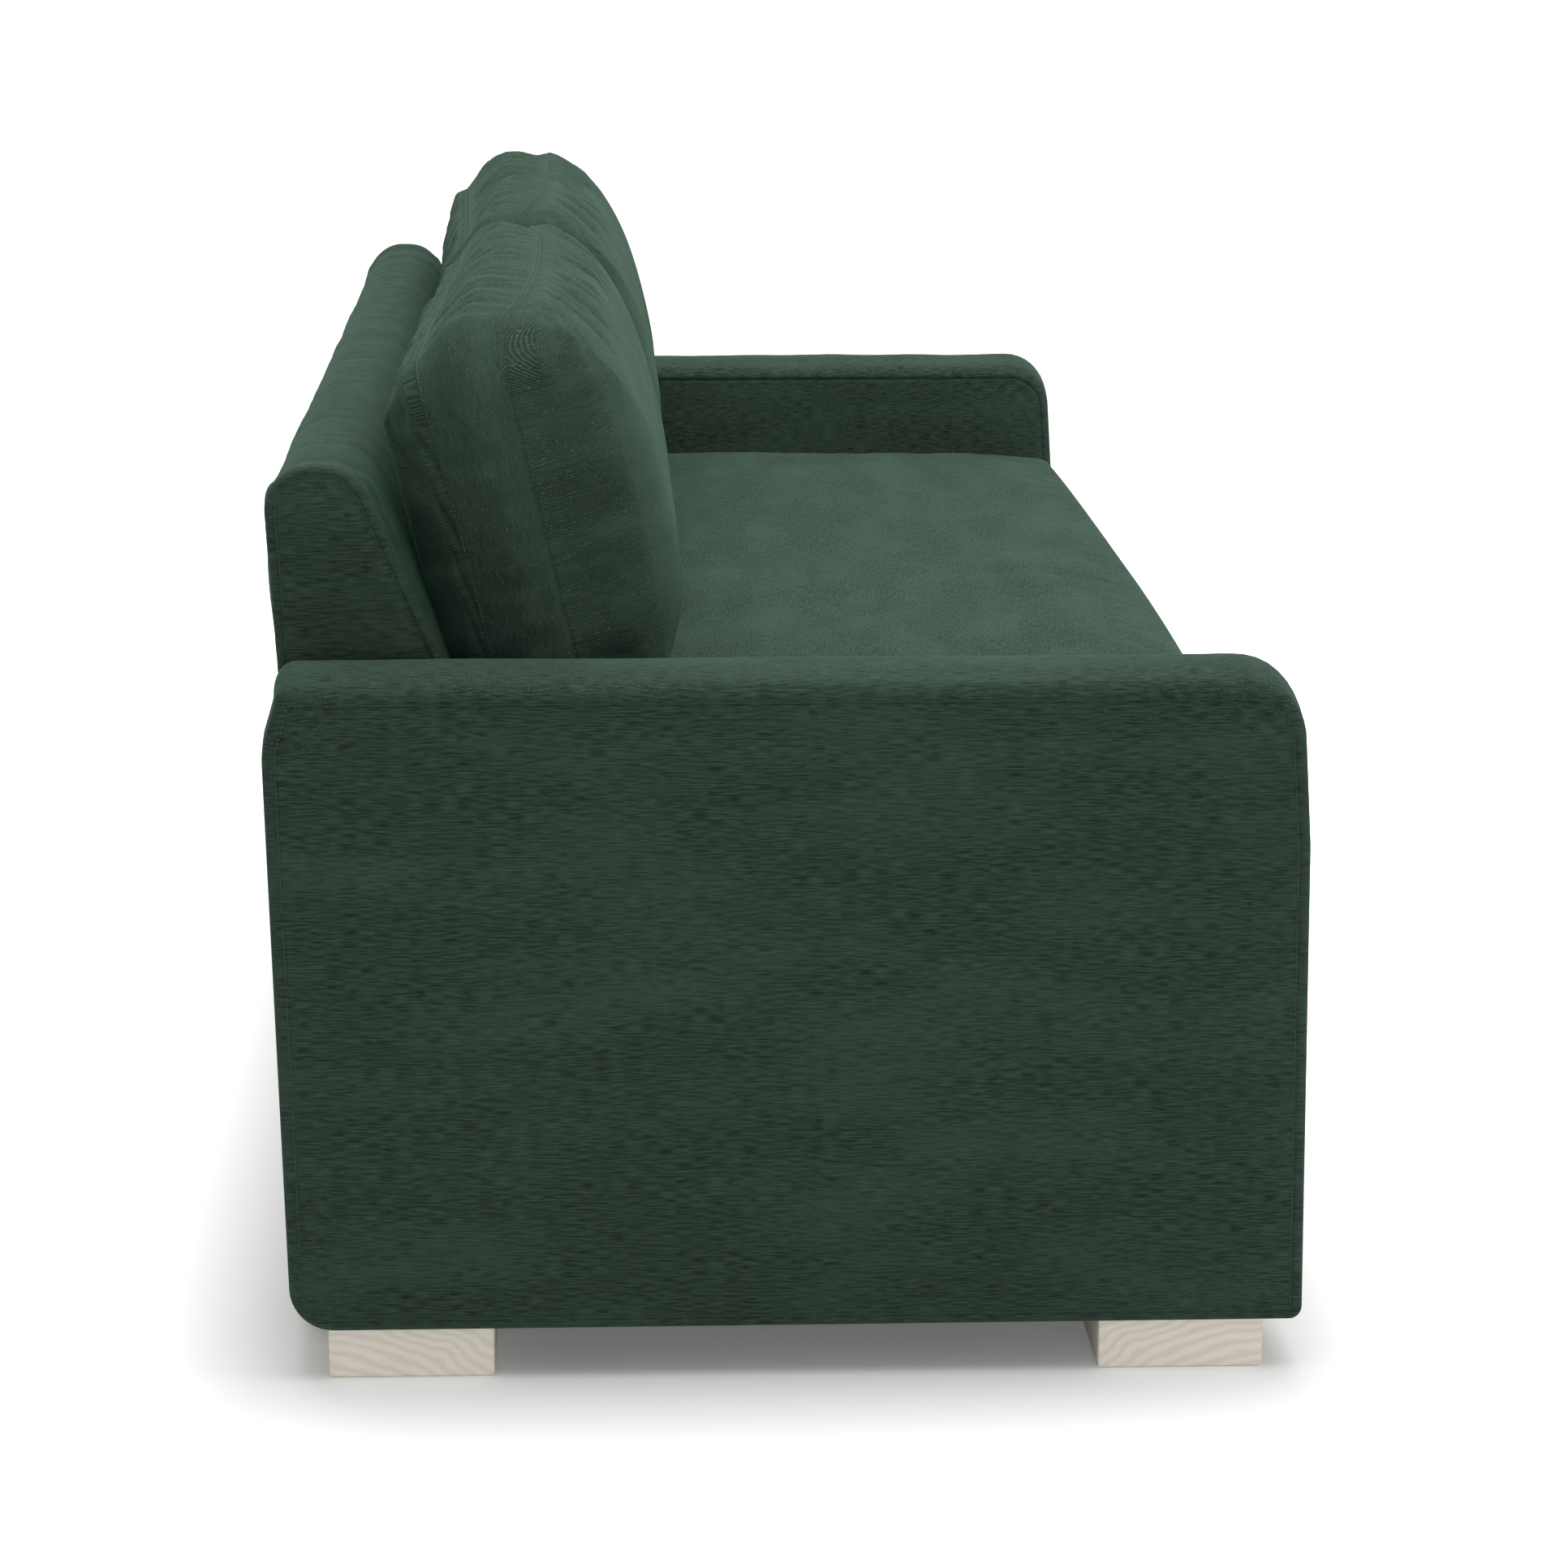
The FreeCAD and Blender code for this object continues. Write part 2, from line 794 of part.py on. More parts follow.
def build_slats():
    half = dim("slat_width") / 2
    edge = frame_end - dim("slat_end_inset") - half
    slats = [
        block(f"slat_{i}", (x - half, frame_front, frame_top), (x + half, board_front, deck))
        for i, x in enumerate(spread(-edge, edge, count("slat_count")))
    ]
    node("seat_slats", group("slat_group", slats))


def build_mattress():
    low = deck + clear
    face = front + dim("mattress_setback")
    lower_rear = board_front - clear
    upper_rear = hinge_y - dim("mattress_step")
    step = hinge_z - dim("rear_board_drop") + dim("mattress_board_gap")
    edge = dim("mattress_edge_radius")
    outline = [
        (face, low),
        (lower_rear, low),
        (lower_rear, step),
        (upper_rear, step),
        (upper_rear, dim("seat_top")),
        (face, dim("seat_top")),
    ]
    radii = {0: edge, 4: edge, 5: dim("mattress_front_radius")}
    node("seat_mattress", outline_body("mattress", outline, -soft_end, soft_end, radii))


def build_fascia():
    """The wadded front board that hides the seat frame and rolls out with it."""
    face = front + dim("fascia_setback")
    board_face = face + dim("fascia_wadding")
    end = arm_inner - dim("fascia_end_gap")
    board = block(
        "fascia_board_block",
        (-end, board_face, dim("fascia_bottom")),
        (end, board_face + dim("fascia_board"), frame_top),
    )
    node("front_fascia_board", board)
    pad = outline_body(
        "fascia_pad",
        [
            (face, dim("fascia_bottom")),
            (board_face, dim("fascia_bottom")),
            (board_face, deck),
            (face, deck),
        ],
        -end,
        end,
        {0: dim("arm_wadding") / 2, 3: dim("arm_wadding") / 2},
    )
    node("front_fascia_padding", pad)


def build_rollers():
    radius = dim("axle_radius")
    near = frame_end + dim("roller_gap")
    far = near + dim("roller_width")
    head = far + dim("axle_end_float")
    axles = []
    for side in SIDES:
        for row, y in roller_rows.items():
            name = f"{row}_{side}"
            low_x, high_x = side_span(side, near, far)
            wheel = rod(f"wheel_{name}", dim("roller_radius"), low_x, high_x, y, axle_z)
            bore = rod(f"wheel_bore_{name}", radius + dim("running_clearance"), low_x, high_x, y, axle_z)
            node(f"roller_{name}", cut(f"roller_wheel_{name}", wheel, [bore]))
            low_x, high_x = side_span(side, frame_end - dim("end_rail_thickness"), head)
            shaft = rod(f"axle_shaft_{name}", radius, low_x, high_x, y, axle_z)
            low_x, high_x = side_span(side, head, head + dim("axle_head"))
            cap = rod(f"axle_cap_{name}", dim("axle_head_radius"), low_x, high_x, y, axle_z)
            low_x, high_x = side_span(side, frame_end, near - dim("axle_end_float"))
            collar = rod(f"axle_collar_{name}", dim("axle_head_radius"), low_x, high_x, y, axle_z)
            axles.append(fuse(f"axle_{name}", [shaft, cap, collar]))
    node("roller_axles", group("axle_group", axles))


# Hinges: four butt hinges between the seat's rear board and the backrest's bottom board
def hinge_middles():
    outer = frame_end - dim("hinge_end_inset")
    inner = dim("hinge_inner")
    return [-outer, -inner, inner, outer]


def knuckle_spans(middle, outer):
    """X spans of the knuckles that belong to the seat leaf (outer) or the back leaf."""
    third = dim("hinge_length") / 3
    start = middle - dim("hinge_length") / 2
    gap = dim("knuckle_gap")
    if outer:
        return [(start, start + third - gap), (start + third * 2 + gap, start + third * 3)]
    return [(start + third, start + third * 2)]


def hinge_leaf(name, middle, outer, tilted):
    """One leaf: a plate with its knuckles, bored for the pin.

    The seat leaf hangs in front of the hinge plane, the back leaf lies on the backrest's side.
    """
    half = dim("hinge_length") / 2
    gap = dim("hinge_plane_gap")
    thickness = dim("hinge_leaf")
    room = dim("knuckle_radius") + dim("knuckle_gap")
    spans = knuckle_spans(middle, outer)
    if tilted:
        near_y, far_y, base_z = gap, gap + thickness, as_size(0)
    else:
        near_y, far_y, base_z = hinge_y - gap - thickness, hinge_y - gap, hinge_z
    plate = block(
        f"{name}_plate",
        (middle - half, near_y, base_z - dim("hinge_leaf_height")),
        (middle + half, far_y, base_z - room),
        tilted=tilted,
    )
    parts = [plate]
    holes = []
    for i, (low_x, high_x) in enumerate(spans):
        parts.append(
            block(f"{name}_neck_{i}", (low_x, near_y, base_z - room), (high_x, far_y, base_z), tilted=tilted)
        )
        parts.append(rod(f"{name}_knuckle_{i}", dim("knuckle_radius"), low_x, high_x, hinge_y, hinge_z))
        bore = dim("hinge_pin_radius") + dim("running_clearance")
        holes.append(rod(f"{name}_bore_{i}", bore, low_x, high_x, hinge_y, hinge_z))
    return cut(f"{name}_bored", fuse(f"{name}_joined", parts), holes)


def build_hinges():
    half = dim("hinge_length") / 2
    seat_leaves = []
    back_leaves = []
    pins = []
    for i, middle in enumerate(hinge_middles()):
        seat_leaves.append(hinge_leaf(f"seat_leaf_{i}", middle, True, False))
        back_leaves.append(hinge_leaf(f"back_leaf_{i}", middle, False, True))
        pins.append(rod(f"hinge_pin_{i}", dim("hinge_pin_radius"), middle - half, middle + half, hinge_y, hinge_z))
    node("hinge_seat_leaves", group("seat_leaf_group", seat_leaves))
    node("hinge_back_leaves", group("back_leaf_group", back_leaves))
    node("hinge_pins", group("hinge_pin_group", pins))


# Backrest: a wedge, drawn in its own frame with the hinge axis at zero and the front face at z = 0
back_rise = dim("seat_top") + dim("back_above_seat") - hinge_z
back_bottom = leaf_plane


def rear_line(y, inset=0.0):
    """Depth of the backrest's rear face, or of a line inside it, at a distance up the front face."""
    return y * tangent(taper) - dim("back_depth") + as_size(inset) / cosine(taper)


def top_on(z, inset=0.0):
    """Distance up the front face where the level top, or a line under it, meets a depth z."""
    return (back_rise - inset - z * cosine(tilt)) / sine(tilt)


def top_on_rear(top_inset=0.0, rear_inset=0.0):
    """Where the top line meets the rear line."""
    level = back_rise - top_inset
    offset = as_size(rear_inset) / cosine(taper) - dim("back_depth")
    y = (level - offset * cosine(tilt)) / (sine(tilt) + tangent(taper) * cosine(tilt))
    return y, rear_line(y, rear_inset)


def guide_pin_rod(name, side, extra=0.0):
    y, z = to_rest(dim("guide_pin_up"), -dim("guide_pin_in"))
    near = soft_end - dim("back_end_wadding") - dim("back_board")
    low_x, high_x = side_span(side, near, arm_inner - dim("guide_pin_tip_gap"))
    return rod(f"{name}_{side}", dim("guide_pin_radius") + extra, low_x, high_x, y, z)


def build_backrest():
    front_inset = dim("back_front_wadding")
    rear_inset = dim("back_rear_wadding")
    top_inset = dim("back_top_wadding")
    room_end = soft_end - dim("back_end_wadding")
    board = dim("back_board")
    bore = dim("screw_clearance")
    top_radius = dim("back_top_radius")
    room_sill = back_bottom - dim("back_room_overcut")
    shell = outline_body(
        "back_shell",
        [
            (dim("back_nose"), 0.0),
            (back_bottom, -dim("back_nose_drop")),
            (back_bottom, rear_line(back_bottom)),
            top_on_rear(),
            (top_on(as_size(0)), 0.0),
        ],
        -soft_end,
        soft_end,
        {2: dim("back_heel_radius"), 3: top_radius, 4: top_radius},
        tilted=True,
    )
    room = outline_body(
        "back_room",
        [
            (room_sill, -front_inset),
            (room_sill, rear_line(room_sill, rear_inset)),
            top_on_rear(top_inset, rear_inset),
            (top_on(-front_inset, top_inset), -front_inset),
        ],
        -room_end,
        room_end,
        tilted=True,
    )
    pins = [guide_pin_rod("cover_pin_room", side, bore) for side in SIDES]
    node("backrest_padding", cut("back_cover", shell, [room] + pins))

    face = -front_inset - clear
    depth = rear_inset + clear
    sill = back_bottom + board
    node(
        "backrest_bottom_board",
        block(
            "back_bottom_block",
            (-room_end + clear, back_bottom, rear_line(back_bottom, depth) + rear_inset),
            (room_end - clear, sill, face),
            tilted=True,
        ),
    )
    top_depth, top_rear = top_on_rear(top_inset + clear, depth)
    end_outline = [
        (sill, face),
        (sill, rear_line(sill, depth)),
        (top_depth, top_rear),
        (top_on(face, top_inset + clear), face),
    ]
    for side in SIDES:
        low_x, high_x = side_span(side, room_end - clear - board, room_end - clear)
        blank = outline_body(f"back_end_{side}", end_outline, low_x, high_x, tilted=True)
        room_for_pin = [guide_pin_rod("board_pin_room", side, bore)]
        node(f"backrest_end_board_{side}", cut(f"back_end_drilled_{side}", blank, room_for_pin))
        node(f"guide_pin_{side}", guide_pin_rod("guide_pin_bar", side))

    rail_high = top_on(face, top_inset + clear)
    rail_low = rail_high - dim("back_top_rail")
    inner_end = room_end - clear - board
    node(
        "backrest_top_rail",
        block(
            "back_top_bar",
            (-inner_end, rail_low, rear_line(rail_high, depth)),
            (inner_end, rail_high, face),
            tilted=True,
        ),
    )
    rib_outline = [
        (sill, face),
        (sill, rear_line(sill, depth)),
        (rail_low, rear_line(rail_low, depth)),
        (rail_low, face),
    ]
    number = count("back_rib_count")
    middles = [-inner_end + inner_end * (2 * (i + 1) / (number + 1)) for i in range(number)]
    ribs = [
        outline_body(f"back_rib_{i}", rib_outline, x - board / 2, x + board / 2, tilted=True)
        for i, x in enumerate(middles)
    ]
    node("backrest_ribs", group("back_rib_group", ribs))


# Loose cushions: they stand on the seat and lean on the backrest
def build_cushions():
    lean = dim("cushion_lean")
    foot_y = hinge_y - dim("cushion_from_hinge")
    foot_z = dim("seat_top") + clear

    def leaning(back, up):
        """A point of the leaning cushion: so far behind its middle plane, so far up along it."""
        y = foot_y + back * cosine(lean) + up * sine(lean)
        z = foot_z + up * cosine(lean) - back * sine(lean)
        return y, z

    outline = [
        (foot_y - dim("cushion_foot_front"), foot_z),
        (foot_y + dim("cushion_foot_rear"), foot_z),
        leaning(dim("cushion_rear_bulge"), dim("cushion_rear_belly")),
        leaning(dim("cushion_rear_bulge"), dim("cushion_rear_shoulder")),
        leaning(dim("cushion_gusset_rear"), dim("cushion_height")),
        leaning(-dim("cushion_gusset_front"), dim("cushion_height")),
        leaning(-dim("cushion_front_bulge"), dim("cushion_front_belly")),
    ]
    edge = dim("cushion_edge_radius")
    radii = {2: edge, 3: edge, 4: edge, 5: edge, 6: dim("cushion_belly_radius")}
    for side in SIDES:
        low_x, high_x = side_span(side, dim("cushion_gap") / 2, arm_inner - dim("cushion_end_gap"))
        node(f"back_cushion_{side}", outline_body(f"cushion_{side}", outline, low_x, high_x, radii))


def build_all():
    for side in SIDES:
        build_arm(side)
        build_feet(side)
        build_runner(side)
        build_guide_plate(side)
    build_foot_bolts()
    build_arm_screws()
    build_rear_panel()
    build_stretchers()
    build_seat_frame()
    build_slats()
    build_mattress()
    build_fascia()
    build_rollers()
    build_hinges()
    build_backrest()
    build_cushions()
    doc.recompute()


def check_all():
    """Stops before anything is written if a feature or a sub-part has failed."""
    for thing in doc.Objects:
        if "Invalid" in thing.State or "Error" in thing.State:
            raise RuntimeError(f"{thing.Name} failed: {thing.State}")
    for name, piece in nodes.items():
        shape = piece.Shape
        if shape.isNull() or not shape.isValid() or shape.Volume <= 0 or not shape.Solids:
            raise RuntimeError(f"{name} has no valid shape")


def write_all():
    os.makedirs("parts", exist_ok=True)
    for name, piece in nodes.items():
        piece.Shape.exportStep(f"parts/{name}.step")
    whole = Part.makeCompound([piece.Shape for piece in nodes.values()]).BoundBox
    print(f"{len(nodes)} sub-parts, {whole.XLength:.1f} x {whole.YLength:.1f} x {whole.ZLength:.1f} mm")
    print(f"Y from {whole.YMin:.2f} to {whole.YMax:.2f}, Z from {whole.ZMin:.2f}")


build_all()
check_all()
write_all()
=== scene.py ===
"""Looks of the futon sofa bed: woven covers, seams and stitches, whitewashed feet, steel and timber parts.

Metres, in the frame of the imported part: +X along the sofa, +Y to the back, +Z up.
"""

import json
import math

import bmesh
import bpy
import numpy as np
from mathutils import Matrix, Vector
from mathutils.kdtree import KDTree


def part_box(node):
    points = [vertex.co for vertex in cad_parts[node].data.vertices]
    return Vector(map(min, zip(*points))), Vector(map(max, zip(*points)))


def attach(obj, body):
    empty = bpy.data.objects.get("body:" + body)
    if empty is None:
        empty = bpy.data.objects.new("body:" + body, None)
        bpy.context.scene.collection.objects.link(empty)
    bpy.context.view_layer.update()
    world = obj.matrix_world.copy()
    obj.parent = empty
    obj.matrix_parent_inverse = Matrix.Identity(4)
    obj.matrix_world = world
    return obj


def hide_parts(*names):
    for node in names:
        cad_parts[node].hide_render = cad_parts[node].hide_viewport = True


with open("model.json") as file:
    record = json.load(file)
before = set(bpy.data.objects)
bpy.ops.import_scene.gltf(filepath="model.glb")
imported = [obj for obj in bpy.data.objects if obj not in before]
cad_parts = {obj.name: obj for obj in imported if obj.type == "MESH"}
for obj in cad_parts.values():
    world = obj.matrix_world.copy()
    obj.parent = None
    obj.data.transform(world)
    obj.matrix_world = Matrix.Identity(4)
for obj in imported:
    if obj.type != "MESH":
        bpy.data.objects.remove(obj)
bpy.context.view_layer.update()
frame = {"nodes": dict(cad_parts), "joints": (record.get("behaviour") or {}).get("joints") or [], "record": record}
MM = 0.001
SIDES = {"left": -1, "right": 1}
SETTLING_FRAMES = 20
COVER_SLOT = "woven_upholstery"


# ---------------------------------------------------------------- materials


def linear(code):
    """An sRGB hex colour as linear RGBA."""
    values = [int(code[i : i + 2], 16) / 255 for i in (1, 3, 5)]
    return [v / 12.92 if v <= 0.04045 else ((v + 0.055) / 1.055) ** 2.4 for v in values] + [1.0]


def add(tree, kind, settings=None, **inputs):
    """Adds a node; inputs are values, or sockets of other nodes to link."""
    new = tree.nodes.new(kind)
    for key, value in (settings or {}).items():
        setattr(new, key, value)
    for key, value in inputs.items():
        socket = new.inputs[int(key[1:])] if key[1:].isdigit() else new.inputs[key.replace("_", " ")]
        if isinstance(value, bpy.types.NodeSocket):
            tree.links.new(value, socket)
        else:
            socket.default_value = value
    return new


def material(name, **constants):
    """A new material with a Principled shader; constants are set on its sockets."""
    made = bpy.data.materials.new(name)
    made.use_nodes = True
    tree = made.node_tree
    shader = tree.nodes["Principled BSDF"]
    for key, value in constants.items():
        shader.inputs[key.replace("_", " ")].default_value = value
    return made, tree, shader


def math_node(tree, operation, first, second=0.0):
    """One sum on two values or sockets."""
    return add(tree, "ShaderNodeMath", {"operation": operation}, _0=first, _1=second).outputs[0]


def mix_colour(tree, factor, first, second):
    """The first colour at factor 0, the second at 1."""
    made = add(tree, "ShaderNodeMix", {"data_type": "RGBA"}, _0=factor, _6=first, _7=second)
    return made.outputs[2]


def ramp(tree, value, low, high):
    """value mapped to 0..1 between low and high."""
    made = add(tree, "ShaderNodeMapRange", _0=value, _1=low, _2=high, _3=0.0, _4=1.0)
    return made.outputs[0]


def woven_cover(name, unevenness):
    """Polyester and cotton plain weave in two greens.

    The eye gets slubs along the weft, pale flecks, slightly worn clouds and a soft sheen at the rim. The
    real yarns are about 0.6 mm apart; they are drawn 1 mm apart, which is the finest that shows.
    Unevenness 1 is the weave as loomed; a cover stretched over a full cushion shows fewer slubs.
    """
    made, tree, shader = material(
        name, Roughness=0.95, Specular_IOR_Level=0.12, Sheen_Weight=0.17, Sheen_Roughness=0.45,
        Sheen_Tint=linear("#6FA88A"),
    )
    pair_of_yarns = 2.0 * MM
    slub_length, slub_width = 14 * MM, 1.5 * MM
    fleck_length, fleck_width = 2.4 * MM, 1.5 * MM
    cloud_length, cloud_width = 210 * MM, 60 * MM
    relief_depth = 0.35 * MM
    uv = add(tree, "ShaderNodeUVMap", {"uv_map": "weave"}).outputs[0]
    split = add(tree, "ShaderNodeSeparateXYZ", _0=uv)
    along, across = split.outputs[0], split.outputs[1]

    def stretched(length, width, detail):
        """Noise drawn out along the weft."""
        place = add(tree, "ShaderNodeMapping", _0=uv, _3=(1 / length, 1 / width, 1.0))
        return add(
            tree, "ShaderNodeTexNoise", {"noise_dimensions": "2D"},
            Vector=place.outputs[0], Scale=1.0, Detail=detail, Roughness=0.6,
        ).outputs[0]

    weft = math_node(tree, "SINE", math_node(tree, "MULTIPLY", across, math.tau / pair_of_yarns))
    warp = math_node(tree, "SINE", math_node(tree, "MULTIPLY", along, math.tau / pair_of_yarns))
    basket = math_node(tree, "MULTIPLY", weft, warp)
    slub = stretched(slub_length, slub_width, 2.0)
    fleck = stretched(fleck_length, fleck_width, 1.0)
    cloud = stretched(cloud_length, cloud_width, 4.0)

    dark, light, worn, pale = (linear(c) for c in ("#141F19", "#2B3D33", "#48604F", "#7F9686"))
    thick = ramp(tree, slub, 0.5 - 0.2 / unevenness, 0.5 + 0.2 / unevenness)
    dots = math_node(tree, "MULTIPLY", ramp(tree, basket, 0.1, 0.9), math_node(tree, "ADD", thick, 0.3))
    flecks = ramp(tree, fleck, 0.68, 0.80)
    clouds = ramp(tree, cloud, 0.42, 0.72)
    colour = mix_colour(tree, thick, dark, light)
    for mask, share, tone in ((dots, 0.42, pale), (flecks, 0.35, pale), (clouds, 0.26, worn)):
        colour = mix_colour(tree, math_node(tree, "MULTIPLY", mask, share), colour, tone)
    tree.links.new(colour, shader.inputs["Base Color"])

    relief = math_node(tree, "ADD", math_node(tree, "MULTIPLY", basket, 0.5), slub)
    bump = add(tree, "ShaderNodeBump", Strength=0.3 * unevenness, Distance=relief_depth, Height=relief)
    tree.links.new(bump.outputs[0], shader.inputs["Normal"])
    return made


def sewing_thread():
    """Bonded polyester thread, twisted: a fine line a little lighter than the cover's shaded sides."""
    made, tree, shader = material("sewing_thread", Roughness=0.6, Specular_IOR_Level=0.4)
    place = add(tree, "ShaderNodeTexCoord").outputs["Object"]
    twist = add(tree, "ShaderNodeTexNoise", Vector=place, Scale=900.0, Detail=1.0).outputs[0]
    colour = mix_colour(tree, ramp(tree, twist, 0.35, 0.65), linear("#2E493C"), linear("#4E6A5A"))
    tree.links.new(colour, shader.inputs["Base Color"])
    return made


def whitewashed_beech():
    """Beech blocks, sanded, under thin white oil: matt, with faint arcs of growth rings and short pores."""
    made, tree, shader = material("whitewashed_beech", Roughness=0.6, Specular_IOR_Level=0.35)
    place = add(tree, "ShaderNodeTexCoord").outputs["Object"]
    ring_spacing = 7 * MM
    heart_of_log = (0.985, 0.35, -0.04)
    folded = add(tree, "ShaderNodeVectorMath", {"operation": "ABSOLUTE"}, _0=place).outputs[0]
    heart = add(tree, "ShaderNodeVectorMath", {"operation": "SUBTRACT"}, _0=folded, _1=heart_of_log).outputs[0]
    turned = add(tree, "ShaderNodeMapping", _0=heart, _2=(0.25, 0.1, 0.75), _3=(1.0, 0.55, 1.0)).outputs[0]
    bend = add(tree, "ShaderNodeTexNoise", Vector=turned, Scale=16.0, Detail=3.0).outputs[1]
    warped = add(tree, "ShaderNodeVectorMath", {"operation": "SCALE"}, _0=bend, Scale=0.035).outputs[0]
    swirl = add(tree, "ShaderNodeVectorMath", {"operation": "ADD"}, _0=turned, _1=warped).outputs[0]
    rings = add(
        tree, "ShaderNodeTexWave", {"wave_type": "RINGS", "rings_direction": "Y"},
        Vector=swirl, Scale=math.tau / (20 * ring_spacing), Distortion=1.2, Detail=2.0,
    ).outputs[1]
    stretch = add(tree, "ShaderNodeMapping", _0=place, _3=(800.0, 60.0, 800.0)).outputs[0]
    pores = add(tree, "ShaderNodeTexNoise", Vector=stretch, Scale=1.0, Detail=2.0).outputs[0]
    colour = mix_colour(tree, ramp(tree, rings, 0.2, 1.0), linear("#FCF5EA"), linear("#F1E7D7"))
    pore_share = math_node(tree, "MULTIPLY", ramp(tree, pores, 0.5, 0.8), 0.12)
    colour = mix_colour(tree, pore_share, colour, linear("#CDBCA3"))
    tree.links.new(colour, shader.inputs["Base Color"])
    bump = add(tree, "ShaderNodeBump", Strength=0.25, Distance=0.2 * MM, Height=pores)
    tree.links.new(bump.outputs[0], shader.inputs["Normal"])
    return made


def planed_pine():
    """Planed pine boards and rails: satin, with long honey streaks of late wood along X."""
    made, tree, shader = material("planed_pine", Roughness=0.55, Specular_IOR_Level=0.35)
    place = add(tree, "ShaderNodeTexCoord").outputs["Object"]
    streak_place = add(tree, "ShaderNodeMapping", _0=place, _3=(1.6, 60.0, 60.0)).outputs[0]
    streak = add(
        tree, "ShaderNodeTexNoise", Vector=streak_place, Scale=1.0, Detail=4.0, Roughness=0.55
    ).outputs[0]
    pore_place = add(tree, "ShaderNodeMapping", _0=place, _3=(24.0, 700.0, 700.0)).outputs[0]
    pores = add(tree, "ShaderNodeTexNoise", Vector=pore_place, Scale=1.0, Detail=2.0).outputs[0]
    colour = mix_colour(tree, ramp(tree, streak, 0.35, 0.65), linear("#E3C899"), linear("#C79F68"))
    pore_share = math_node(tree, "MULTIPLY", ramp(tree, pores, 0.5, 0.8), 0.25)
    colour = mix_colour(tree, pore_share, colour, linear("#A97F4C"))
    tree.links.new(colour, shader.inputs["Base Color"])
    bump = add(tree, "ShaderNodeBump", Strength=0.25, Distance=0.2 * MM, Height=pores)
    tree.links.new(bump.outputs[0], shader.inputs["Normal"])
    return made


def zinc_steel():
    """Rolled steel, zinc plated: cool grey with a soft spangle and fine rolling lines in its shine."""
    made, tree, shader = material("zinc_plated_steel", Metallic=1.0)
    place = add(tree, "ShaderNodeTexCoord").outputs["Object"]
    spangle = add(tree, "ShaderNodeTexVoronoi", Vector=place, Scale=160.0).outputs[1]
    tone = add(tree, "ShaderNodeSeparateColor", _0=spangle).outputs[0]
    colour = mix_colour(tree, tone, linear("#A9AEB2"), linear("#C6CACD"))
    tree.links.new(colour, shader.inputs["Base Color"])
    lines = add(tree, "ShaderNodeMapping", _0=place, _3=(40.0, 40.0, 1200.0)).outputs[0]
    streak = add(tree, "ShaderNodeTexNoise", Vector=lines, Scale=1.0, Detail=2.0).outputs[0]
    rough = add(tree, "ShaderNodeMapRange", _0=streak, _1=0.3, _2=0.7, _3=0.28, _4=0.46).outputs[0]
    tree.links.new(rough, shader.inputs["Roughness"])
    return made


def roller_nylon():
    """Turned polyamide: off-white, half matt, with fine turning marks."""
    made, tree, shader = material("roller_nylon", Specular_IOR_Level=0.5)
    place = add(tree, "ShaderNodeTexCoord").outputs["Object"]
    marks = add(tree, "ShaderNodeTexNoise", Vector=place, Scale=400.0, Detail=2.0).outputs[0]
    colour = mix_colour(tree, ramp(tree, marks, 0.3, 0.7), linear("#D9D5CA"), linear("#E8E5DC"))
    tree.links.new(colour, shader.inputs["Base Color"])
    rough = add(tree, "ShaderNodeMapRange", _0=marks, _1=0.3, _2=0.7, _3=0.35, _4=0.5).outputs[0]
    tree.links.new(rough, shader.inputs["Roughness"])
    return made


COVER = woven_cover("melange_weave", 1.0)
CUSHION_COVER = woven_cover("melange_weave_stretched", 0.42)
THREAD = sewing_thread()
FOOT_WOOD = whitewashed_beech()
FRAME_WOOD = planed_pine()
STEEL = zinc_steel()
NYLON = roller_nylon()
SLOT_MATERIALS = {
    "foot_timber": FOOT_WOOD,
    "frame_timber": FRAME_WOOD,
    "zinc_steel": STEEL,
    "roller_nylon": NYLON,
    COVER_SLOT: COVER,
}


# ---------------------------------------------------------------- shapes


def rounded_outline(corners, radii, inset, straight, turn):
    """A closed outline with round corners, moved inwards by inset, and its outward normals.

    straight is the number of steps on each side, turn the number on each corner's arc. Corners run
    anticlockwise, and the points correspond whatever the inset.
    """
    corners = np.asarray(corners, float)
    number = len(corners)
    ways = np.roll(corners, -1, 0) - corners
    ways /= np.linalg.norm(ways, axis=1)[:, None]
    outwards = np.stack([ways[:, 1], -ways[:, 0]], 1)
    moved = []
    for i in range(number):
        before, after = (i - 1) % number, i
        base = outwards[before] + outwards[after]
        moved.append(corners[i] - inset * base / (1 + outwards[before] @ outwards[after]))
    points = []
    normals = []
    arcs = []
    for i in range(number):
        before, after = (i - 1) % number, i
        radius = max(radii[i] - inset, 0.2 * MM)
        cosine = np.clip(ways[before] @ ways[after], -1, 1)
        reach = radius * math.tan(math.acos(cosine) / 2)
        start = moved[i] - ways[before] * reach
        centre = start - outwards[before] * radius
        first = math.atan2(outwards[before][1], outwards[before][0])
        sweep = math.acos(cosine)
        angles = first + sweep * np.linspace(0, 1, turn + 1)
        around = np.stack([np.cos(angles), np.sin(angles)], 1)
        arcs.append((centre + radius * around, around))
    for i in range(number):
        arc, around = arcs[i]
        points.extend(arc)
        normals.extend(around)
        end = arcs[(i + 1) % number][0][0]
        for k in range(1, straight[i]):
            points.append(arc[-1] + (end - arc[-1]) * k / straight[i])
            normals.append(around[-1])
    return np.array(points), np.array(normals)


